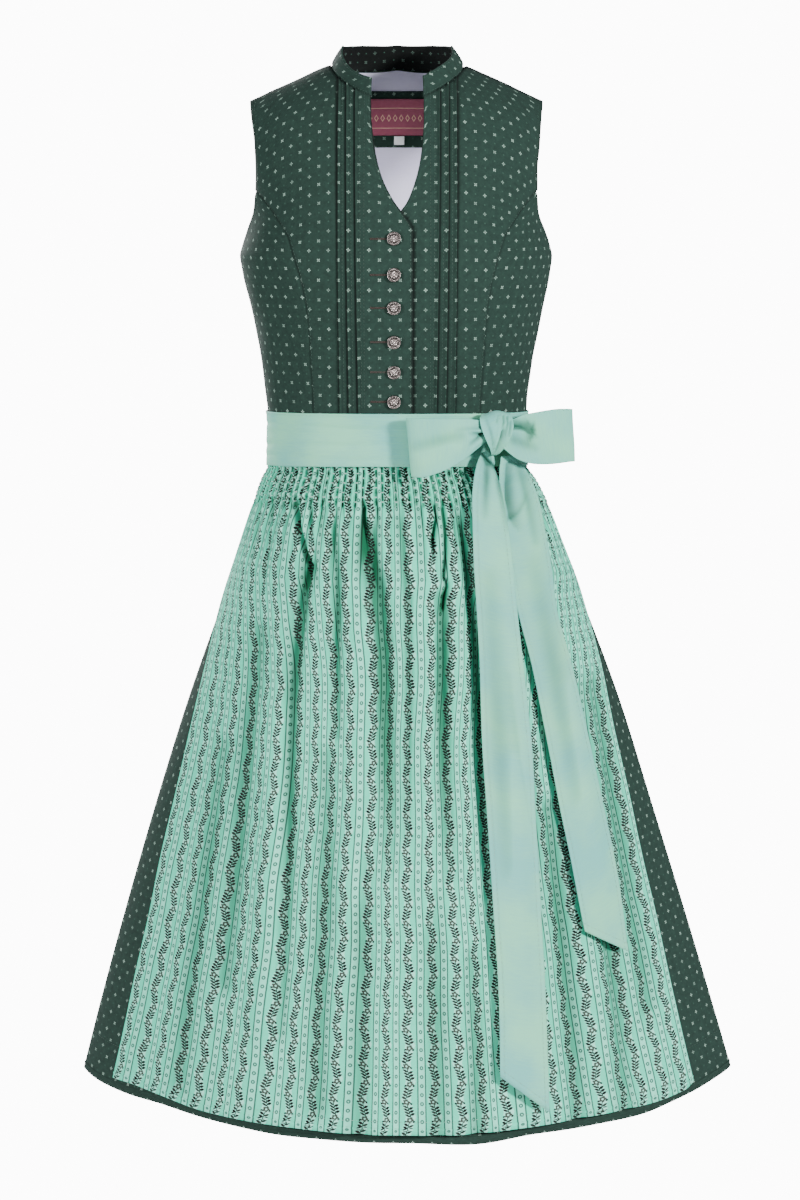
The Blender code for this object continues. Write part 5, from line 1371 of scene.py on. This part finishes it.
tailRows = {
    "bowTailRight": (  # left edge x, z, right edge x, z, and how far it stands off the skirt
        (85.5, -350.5, 92.5, -357.0, 16.0),
        (77.3, -360.0, 96.0, -372.0, 16.5),
        (72.8, -380.0, 101.0, -388.0, 17.5),
        (71.4, -397.0, 103.6, -402.0, 18.0),
        (72.0, -430.0, 107.5, -434.0, 18.0),
        (73.0, -463.0, 111.0, -467.0, 18.0),
        (77.5, -539.0, 118.5, -541.0, 18.0),
        (80.0, -622.0, 127.4, -623.0, 18.0),
        (84.7, -690.0, 131.4, -694.0, 18.0),
        (91.0, -784.0, 136.5, -787.0, 18.0),
        (95.5, -858.0, 140.5, -868.0, 18.0),
        (96.5, -929.5, 143.4, -967.0, 18.0),
    ),
    "bowTailLeft": (
        (99.5, -358.0, 110.0, -357.0, 12.0),
        (98.0, -374.0, 124.0, -371.0, 12.5),
        (98.0, -398.0, 137.0, -400.0, 13.0),
        (102.0, -430.0, 143.5, -433.0, 13.5),
        (108.0, -465.0, 149.5, -469.0, 13.5),
        (115.0, -503.0, 155.0, -508.0, 13.5),
        (127.8, -553.0, 168.0, -557.0, 13.5),
        (141.0, -616.0, 182.7, -618.0, 13.5),
        (154.3, -684.0, 197.0, -683.0, 13.5),
        (164.0, -730.0, 208.0, -733.0, 13.5),
        (173.0, -776.0, 217.0, -786.0, 13.5),
        (179.5, -808.0, 223.7, -835.0, 13.5),
    ),
}
bow = {
    "shell": 0.8, "columns": 50, "steps": 12, "tailColumns": 44, "tailSteps": 16, "hangWider": 12,
    "tailHem": 9, "edgeHem": 5.5,
}
# creases of the front layers: half width on the left and right of its way, then x, z and depth of each point
bowCreases = {
    "bowLoopRight": (
        (1.1, 2.8, (70.5, -332.4, 0.8), (77, -333.2, 2.6), (80, -333.6, 5), (86, -333.4, 7)),
        (2.2, 2.2, (84, -334.8, 3.4), (78, -338, 2.8), (71, -343.5, 0.8)),
        (2.0, 2.0, (84, -337.6, -1.4), (76, -344, -1.4), (68, -352, -0.5)),
        (1.6, 2.4, (82, -328.4, 1.4), (72, -328.8, 0.8), (58, -330, 0.3)),
        (5, 5, (60, -336, 0.8), (40, -340, 1.0), (16, -346, 0.6)),
        (7, 7, (50, -352, -0.8), (24, -362, -0.8)),
    ),
    "bowLoopLeft": (
        (3.6, 0.9, (106, -331.4, 6), (112, -331.2, 5), (118.6, -331.6, 3.8), (123.2, -333.4, 2.8),
         (126, -335.6, 1.6)),
        (1.7, 5.5, (128, -327.5, 1.6), (131, -333, 3.4), (129.5, -339.5, 2.4)),
        (3, 4, (112, -324.6, 1.6), (124, -328, 1.2)),
        (4, 4, (112, -342, 1.6), (124, -347, 1.4), (136, -352, 0.4)),
        (8, 8, (150, -330, -1.0), (146, -350, -1.0)),
    ),
    "bowKnot": (
        (3.2, 0.9, (100.5, -330.4, 0.8), (99.5, -332.7, 3.8), (98.5, -336.7, 4.6), (97.2, -341, 2.8),
         (93.9, -349, 1.6)),
        (1.5, 1.5, (96.7, -318.8, -0.8), (97.2, -328.4, -1.2), (95.8, -337, -1.2), (92.4, -346.6, -0.8)),
        (0.9, 0.9, (101, -317.8, 1.4), (101.5, -323.6, 2.0), (100, -328.4, 0.8)),
        (0.9, 0.9, (104.8, -318.8, 1.6), (105.7, -324.5, 1.8), (104.3, -331.3, 1.3), (103.2, -338, 0.6)),
        (0.9, 0.9, (108.1, -323, 1.2), (107.6, -330.3, 1.5), (106.2, -337, 0.8)),
        (0.9, 0.9, (95.8, -317.8, 0.8), (94.3, -323, 1.0)),
        (1.6, 1.6, (84.3, -320.7, 0.6), (88.2, -332.2, 1.1), (91, -344.7, 0.7)),
    ),
    "bowTailRight": (
        (0.9, 3.6, (79, -347, 0.8), (84.3, -356.2, 3.2), (89.1, -362, 4.2), (95, -367.5, 2.6)),
        (3.4, 3.4, (86.5, -361, 1.8), (86.2, -373.5, 2.8), (85.3, -388, 2.2), (84.3, -412, 0.6)),
        (1.1, 3.0, (95.8, -362, 1.6), (97.2, -372.5, 2.6), (98.6, -385, 2.4), (101.5, -397.5, 1.8),
         (104.3, -412, 1.2),
         (106.2, -426, 0.4)),
        (9, 9, (88, -470, 0.6), (96, -600, 1.4), (106, -740, 0.7)),
        (8, 8, (112, -640, -0.6), (118, -760, -1.4), (122, -880, -0.6)),
        (2, 5, (106, -560, 0.3), (116, -640, 0.7), (126, -700, 0.3)),
    ),
    "bowTailLeft": (
        (5.5, 2.4, (107, -366, 2.2), (105.7, -383, 3.4), (106.2, -397.5, 4), (109.1, -412, 2.8),
         (113, -422.5, 1.2)),
        (4.2, 1.2, (109, -417, 1.8), (117.6, -411, 1.5), (126, -397.5, 0.5)),
        (4, 4, (118, -366, 1.4), (127, -400, 1.6), (134, -440, 0.6)),
        (9, 9, (132, -460, 0.5), (152, -560, 1.5), (176, -680, 0.8)),
        (8, 8, (166, -580, -0.6), (186, -690, -1.4), (204, -780, -0.6)),
    ),
}


def smoothRows(rows, steps):
    # points on a smooth curve through the rows, with so many steps to each span
    values = np.array(rows, dtype=float) * mm
    padded = np.vstack((2 * values[0] - values[1], values, 2 * values[-1] - values[-2]))
    part = (np.arange(steps) / steps)[None, :, None]
    before, start, end, after = [padded[first:len(padded) - 3 + first, None] for first in range(4)]
    curve = 0.5 * (2 * start + (end - before) * part + (2 * before - 5 * start + 4 * end - after) * part ** 2
                   + (3 * start - before - 3 * end + after) * part ** 3)
    return np.vstack((curve.reshape(-1, values.shape[1]), values[-1:]))


def gridNormal(points):
    normal = np.cross(np.gradient(points, axis=0), np.gradient(points, axis=1))
    return normal / np.maximum(np.linalg.norm(normal, axis=2, keepdims=True), 1e-12)


def bowPiece(name, points, lift, paintedShade, place, node, flat, area):
    shaped = points + lift[..., None] * gridNormal(points)
    item = cloth(name, shaped, place, "plain", bow["shell"], paintedShade=np.maximum(paintedShade, 0) ** 0.8)
    item.modifiers["shell"].offset = 0
    dress(item, [node], flat, area)
    return item


def bowRibbon(name, node):
    lines = smoothRows(loopRows[name], bow["steps"])
    part = np.linspace(0, 1, bow["columns"] + 1)[None, :, None]
    points = lines[:, None, :3] * (1 - part) + lines[:, None, 3:6] * part
    normal = gridNormal(points)
    points = points + normal * lines[:, 6:7, None] * np.sin(part * math.pi) ** 2
    place = flatCloth(points, bow["columns"] // 2)
    flat, area = cutSize(points)
    # only the front layer is creased, and it sinks to the back
    front = np.arange(len(points))[:, None] > (0 if name == "bowKnot" else 5.6 * bow["steps"])
    ahead = -np.sign(gridNormal(points)[..., 1])
    dent = dents(points, bowCreases[name]) * front
    lift = 0.3 * mm * ripple(points, 30, 71) - dent * ahead
    # painted shade in the creases, from their depth
    return bowPiece(name, points, lift, dent / (3.4 * mm), place, node, flat, area)


def bowTail(name, node):
    lines = smoothRows(tailRows[name], bow["tailSteps"])
    part = np.linspace(0, 1, bow["tailColumns"] + 1)[None]
    across = lines[:, 0:1] + (lines[:, 2:3] - lines[:, 0:1]) * part
    height = lines[:, 1:2] + (lines[:, 3:4] - lines[:, 1:2]) * part
    width = skirtForm.read("left", height) + bow["hangWider"] * mm
    blunt, point = skirtForm.read("round", height), skirtForm.read("point", height)
    depth = skirtForm.read("front", height) * (1 - np.minimum(across / width, 1) ** blunt) ** (1 / point)
    points = stack(across, -depth - lines[:, 4:5] - 0.5 * bow["shell"] * mm, height)
    place = flatCloth(points, bow["tailColumns"] // 2)
    flat, area = cutSize(points)
    outwards = np.sign(-gridNormal(points)[..., 1])
    dent = dents(points, bowCreases[name])
    lift = 0.5 * mm * ripple(points, 60, 73) - dent
    sides = np.minimum(place[..., 0] - place[:, :1, 0], place[:, -1:, 0] - place[..., 0]) / mm
    foot = (place[-1:, :, 1] - place[..., 1]) / mm
    for reach, hem in ((sides, bow["edgeHem"]), (foot, bow["tailHem"])):
        lift = lift - 0.35 * mm * np.exp(-((reach - hem) / 0.8) ** 2) + 0.2 * mm * smoothStep(reach, hem,
                hem - 1.5)
    # painted shade in the creases, from their depth
    paintedShade = dent / (3.6 * mm)
    return bowPiece(name, points, lift * outwards, paintedShade, place, node, flat, area)


bowRibbon("bowLoopRight", "bow_loop_right")
bowRibbon("bowLoopLeft", "bow_loop_left")
bowRibbon("bowKnot", "bow_knot")
bowTail("bowTailRight", "bow_tail_right")
bowTail("bowTailLeft", "bow_tail_left")
print("bow tied")


# Buttons

button = {
    "heights": (-150.3, -183.8, -214.7, -246.9, -275.6, -304.2), "across": -3.2, "stand": 0.6,
    "radius": 6.7, "rings": 40, "sides": 96, "beads": 18, "beadRing": 5.0, "beadSize": 0.62, "petals": 8,
}


def buttonRelief(radius, angle):
    # height in mm over the back: rolled rim, bead ring, flower and a boss in the middle
    rim = 1.15 * np.exp(-((radius - 6.15) / 0.5) ** 2)
    turn = (angle * button["beads"] / (2 * math.pi) % 1 - 0.5) * 2 * math.pi / button["beads"] * button["beadRing"]
    bead = np.maximum(1 - ((radius - button["beadRing"]) ** 2 + turn ** 2) / button["beadSize"] ** 2,
                      0) ** 0.5
    petal = np.abs(np.cos(angle * button["petals"] / 2)) ** 0.6
    flower = 1.25 * petal * smoothStep(radius, 4.1, 3.1) * smoothStep(radius, 1.2, 1.9)
    boss = 1.9 * np.sqrt(np.maximum(1 - (radius / 1.45) ** 2, 0))
    dome = 1.0 + 0.5 * smoothStep(radius, 5.4, 1.0)
    return dome * smoothStep(radius, 6.75, 6.3) * 0.5 + 0.5 * dome + rim + 0.75 * bead + np.maximum(flower,
            boss) - 0.25


def silverButton(number, height):
    size = button
    radius = np.linspace(0.0, 1.0, size["rings"]) ** 0.9 * size["radius"]
    angle = np.arange(size["sides"]) * 2 * math.pi / size["sides"]
    radius, angle = np.meshgrid(radius[1:], angle, indexing="ij")
    relief = buttonRelief(radius, angle)
    rings = stack(radius * np.cos(angle), radius * np.sin(angle), relief)
    back = rings[-1] * np.array([0.9, 0.9, 0])
    points = np.concatenate((rings.reshape(-1, 3), back, [[0, 0, buttonRelief(0.0, 0.0)], [0, 0, 0]]))
    count, rows = size["sides"], size["rings"]
    index = np.arange(rows * count).reshape(rows, count)
    after = np.roll(index, -1, 1)
    faces = np.stack((index[:-1], index[1:], after[1:], after[:-1]), -1).reshape(-1, 4).tolist()
    faces += [[rows * count, start, end] for start, end in zip(index[0], after[0])]
    faces += [[rows * count + 1, end, start] for start, end in zip(index[-1], after[-1])]
    worn = np.clip(points[:, 2] / 2.6 - 0.15, 0, 1)
    row, across = height * mm, size["across"] * mm
    step = 0.5 * mm
    here, right, above = [bodicePoints(row + up, turnAt(row + up, across + side), True)
                          for side, up in ((0, 0), (step, 0), (0, step))]
    normal = Vector(np.cross(right - here, above - here)).normalized()
    turned = normal.to_track_quat("Z", "Y").to_matrix()
    placed = points * mm @ np.array(turned).T + here + size["stand"] * mm * np.array(normal)
    mesh = bpy.data.meshes.new(f"silverButton{number}")
    mesh.from_pydata(placed.tolist(), [], faces)
    mesh.attributes.new("worn", "FLOAT", "POINT").data.foreach_set("value", worn.astype(np.float32))
    mesh.polygons.foreach_set("use_smooth", np.ones(len(faces), bool))
    mesh.materials.append(finishes["silver"])
    item = bpy.data.objects.new(mesh.name, mesh)
    scene.collection.objects.link(item)
    dress(item, [f"button_{number}"])


for number, height in enumerate(button["heights"], 1):
    silverButton(number, height)
print("buttons on")
# Stitches

sewing = {
    # pitch, length, width and how far the thread lies over the cloth
    "seam": (3.4, 2.5, 0.42, 0.12), "hem": (4.6, 3.2, 0.42, 0.1), "smock": (0, 3.4, 0.8, 0.4), "hole": (0.62,
            1.2, 0.5, 0.12),
    "uneven": 0.18, "seed": 5,
}


def threadTree():
    # one short round thread on each point, turned along its way, with slightly uneven lengths
    tree = bpy.data.node_groups.new("shortThreads", "GeometryNodeTree")
    sockets = (("Points", "Geometry"), ("Length", "Float"), ("Width", "Float"), ("Uneven", "Float"),
               ("Seed", "Int"),
               ("Thread", "Material"))
    for name, kind in sockets:
        tree.interface.new_socket(name, in_out="INPUT", socket_type="NodeSocket" + kind)
    tree.interface.new_socket("Threads", in_out="OUTPUT", socket_type="NodeSocketGeometry")
    enter = node(tree, "NodeGroupInput", out=None).outputs
    way = node(tree, "GeometryNodeInputNamedAttribute", out=None, data_type="FLOAT_VECTOR")
    way.inputs["Name"].default_value = "way"
    turned = node(tree, "FunctionNodeAlignRotationToVector", None, None, way.outputs[0], axis="X")
    least = node(tree, "Math.SUBTRACT", 1.0, enter["Uneven"])
    most = node(tree, "Math.ADD", 1.0, enter["Uneven"])
    vary = node(tree, "FunctionNodeRandomValue", out=1, data_type="FLOAT",
                named={2: least, 3: most, 8: enter["Seed"]})
    length = node(tree, "Math.MULTIPLY", enter["Length"], vary)
    size = node(tree, "CombineXYZ", length, enter["Width"], enter["Width"])
    ball = node(tree, "GeometryNodeMeshUVSphere", 6, 3, 0.5)
    placed = node(tree, "GeometryNodeInstanceOnPoints", enter["Points"], None, ball, None, None, turned, size)
    plain = node(tree, "GeometryNodeRealizeInstances", placed)
    finished = node(tree, "GeometryNodeSetMaterial", plain, None, enter["Thread"])
    node(tree, "NodeGroupOutput", finished, out=None)
    return tree, {item.name: item.identifier for item in tree.interface.items_tree if item.in_out == "INPUT"}


shortThreads, threadInputs = threadTree()


def inset(points, edge, reach):
    # the line on a grid that runs so many mm inside one of its edges
    lines = {"first": points, "last": points[::-1], "left": points.swapaxes(0, 1),
             "right": points.swapaxes(0, 1)[::-1]}[edge]
    found = []
    for column in range(lines.shape[1]):
        steps = np.linalg.norm(np.diff(lines[:, column, :3], axis=0), axis=1).cumsum()
        steps = np.concatenate(([0], steps))
        found.append([np.interp(reach * mm, steps, lines[:, column, side]) for side in range(lines.shape[2])])
    return np.array(found)


def run(path, kind, low=-2000, high=2000):
    # places and ways of stitches along a path of points and their normals, between two heights
    pitch, _, _, over = sewing[kind]
    path = path[(path[:, 2] > low * mm) & (path[:, 2] < high * mm)]
    reach = np.concatenate(([0], np.linalg.norm(np.diff(path[:, :3], axis=0), axis=1).cumsum()))
    stops = np.arange(pitch / 2 * mm, reach[-1], pitch * mm)
    here, ahead = [np.stack([np.interp(stops + step, reach, path[:, side]) for side in range(6)], -1)
                   for step in (0, 0.5 * mm)]
    return here[:, :3] + here[:, 3:] * over * mm, ahead[:, :3] - here[:, :3]


def sew(name, kind, runs, nodes, finish):
    points, ways = [np.concatenate(part) for part in zip(*runs)]
    mesh = bpy.data.meshes.new(name + "Points")
    mesh.from_pydata(points.tolist(), [], [])
    mesh.attributes.new("way", "FLOAT_VECTOR", "POINT").data.foreach_set("vector",
            ways.ravel().astype(np.float32))
    raw = bpy.data.objects.new(name + "Points", mesh)
    scene.collection.objects.link(raw)
    threads = raw.modifiers.new("threads", "NODES")
    threads.node_group = shortThreads
    _, length, width, _ = sewing[kind]
    for label, value in (("Length", length * mm), ("Width", width * mm), ("Uneven", sewing["uneven"]),
                         ("Seed", sewing["seed"]), ("Thread", finishes[finish])):
        threads[threadInputs[label]] = value
    made = bpy.data.meshes.new_from_object(raw.evaluated_get(bpy.context.evaluated_depsgraph_get()))
    bpy.data.objects.remove(raw)
    made.name = name
    made.polygons.foreach_set("use_smooth", np.ones(len(made.polygons), bool))
    item = bpy.data.objects.new(name, made)
    scene.collection.objects.link(item)
    dress(item, nodes)


def gridPaths(name, hemRows=0, over=0.0):
    # the points of a finished grid, lifted by so many mm, and its normals
    points, normal = grids[name]
    count = len(points) - hemRows
    return np.concatenate((points[:count] + over * mm * normal[:count], normal[:count]), -1)


def smockStitches():
    # a thread over each pair of pleats that is drawn together
    points = gridPaths("smockedApron", 2)
    _, _, _, down, share = apronShape
    count = apron["pleats"] * (gathered(down, share) + 1) / 2
    rows = apron["smockRows"] / apron["stitchRows"]
    places, ways = [], []
    for row in range(apron["stitchRows"]):
        line = int((row + 0.5) * rows)
        for pleat in range(1, apron["pleats"]):
            if (pleat + row) % 2:
                start, end = [np.array([np.interp(pleat + side, count[line],
                                                  points[line, :, axis]) for axis in range(6)])
                              for side in (-0.34, 0.34)]
                middle = (start + end) / 2
                places.append(middle[:3] + middle[3:] * sewing["smock"][3] * mm)
                ways.append(end[:3] - start[:3])
    return np.array(places), np.array(ways)


def buttonhole(height):
    # satin stitch, upright, above and below the slit
    across = np.arange(-25.5, -10.5, sewing["hole"][0]) * mm
    row = np.array([[height - 0.5], [height + 0.5]]) * mm + 0 * across
    places = bodicePoints(row, turnAt(row, across + 0 * row), True)
    places = places + facing(places) * 0.45 * mm
    ways = np.zeros(places.shape) + np.array([0.06, 0.0, 1.0])
    return places.reshape(-1, 3), ways.reshape(-1, 3)


fronts = {side: gridPaths("centreFront" + ("Left" if side > 0 else "Right")) for side in (-1, 1)}
sides = {side: gridPaths("sideFront" + ("Left" if side > 0 else "Right")) for side in (-1, 1)}
greenRuns = []
for side in (-1, 1):
    front = fronts[side]
    greenRuns += [run(front[:, column], "seam", bodice["tuckFoot"]) for column in (14, 16, 27, 38)]
    greenRuns.append(run(inset(front, "left", 2.4), "seam", high=-119 if side > 0 else 0))
    greenRuns.append(run(inset(front, "right", 1.6), "seam", high=bodice["princessTop"] - 3))
    greenRuns.append(run(inset(front, "right", 5.0), "seam", low=bodice["princessTop"] + 3))
    greenRuns.append(run(inset(sides[side], "right", 5.0), "seam", low=-160))
for edge in ("left", "right"):
    greenRuns.append(run(inset(gridPaths("backBodice"), edge, 5.0), "seam", low=-160))
for edge, reach in (("first", 3.4), ("last", 2.2)):
    greenRuns.append(run(inset(gridPaths("standCollar"), edge, reach), "seam"))
sew("bodiceStitches", "seam", greenRuns, ["bodice_centre_front_right", "bodice_centre_front_left",
    "bodice_side_front_right", "bodice_side_front_left", "bodice_back", "collar"], "greenThread")
sew("buttonholes", "hole", [buttonhole(height) for height in button["heights"]],
    ["bodice_centre_front_right"],
    "brownThread")
hems = [run(gridPaths(name, 3)[-1 - back], "hem") for name, back in (("frontSkirt", 5), ("backSkirt", 5))]
sew("skirtHemStitches", "hem", hems, ["skirt_front", "skirt_back"], "greenThread")
mint = gridPaths("smockedApron", 2)
sew("smockStitches", "smock", [smockStitches()], ["apron"], "smockThread")
sew("apronHemStitches", "hem", [run(inset(mint, "last", 12), "hem"),
                                run(inset(mint, "left", 6), "hem", high=-415),
    run(inset(mint, "right", 6), "hem", high=-415)], ["apron"], "mintThread")
bands = [run(inset(gridPaths(name), edge, 1.9), "hem") for name in ("apronBand",
        "backTie") for edge in ("first", "last")]
sew("bandStitches", "hem", bands, ["apron_waistband", "apron_tie_back"], "mintThread")
ties = []
for name in ("bowTailRight", "bowTailLeft"):
    points = gridPaths(name, 0, bow["shell"] / 2)
    for edge, reach in (("left", 4.6), ("right", 4.6), ("last", 8.0)):
        ties.append(run(inset(points, edge, reach), "hem", high=-372))
sew("bowStitches", "hem", ties, ["bow_tail_right", "bow_tail_left"], "mintThread")
for name, nodeName, slot, finish in (("neckPatch", "neck_patch", "dark_green_cotton", "greenThread"),
                                     ("neckLabel", "neck_label", "mauve_label", "mauveThread")):
    edges = [run(inset(gridPaths(name), edge, 1.2), "seam") for edge in ("first", "last", "left", "right")]
    sew(name + "Stitches", "seam", edges, [nodeName], finish)
print("stitches sewn")
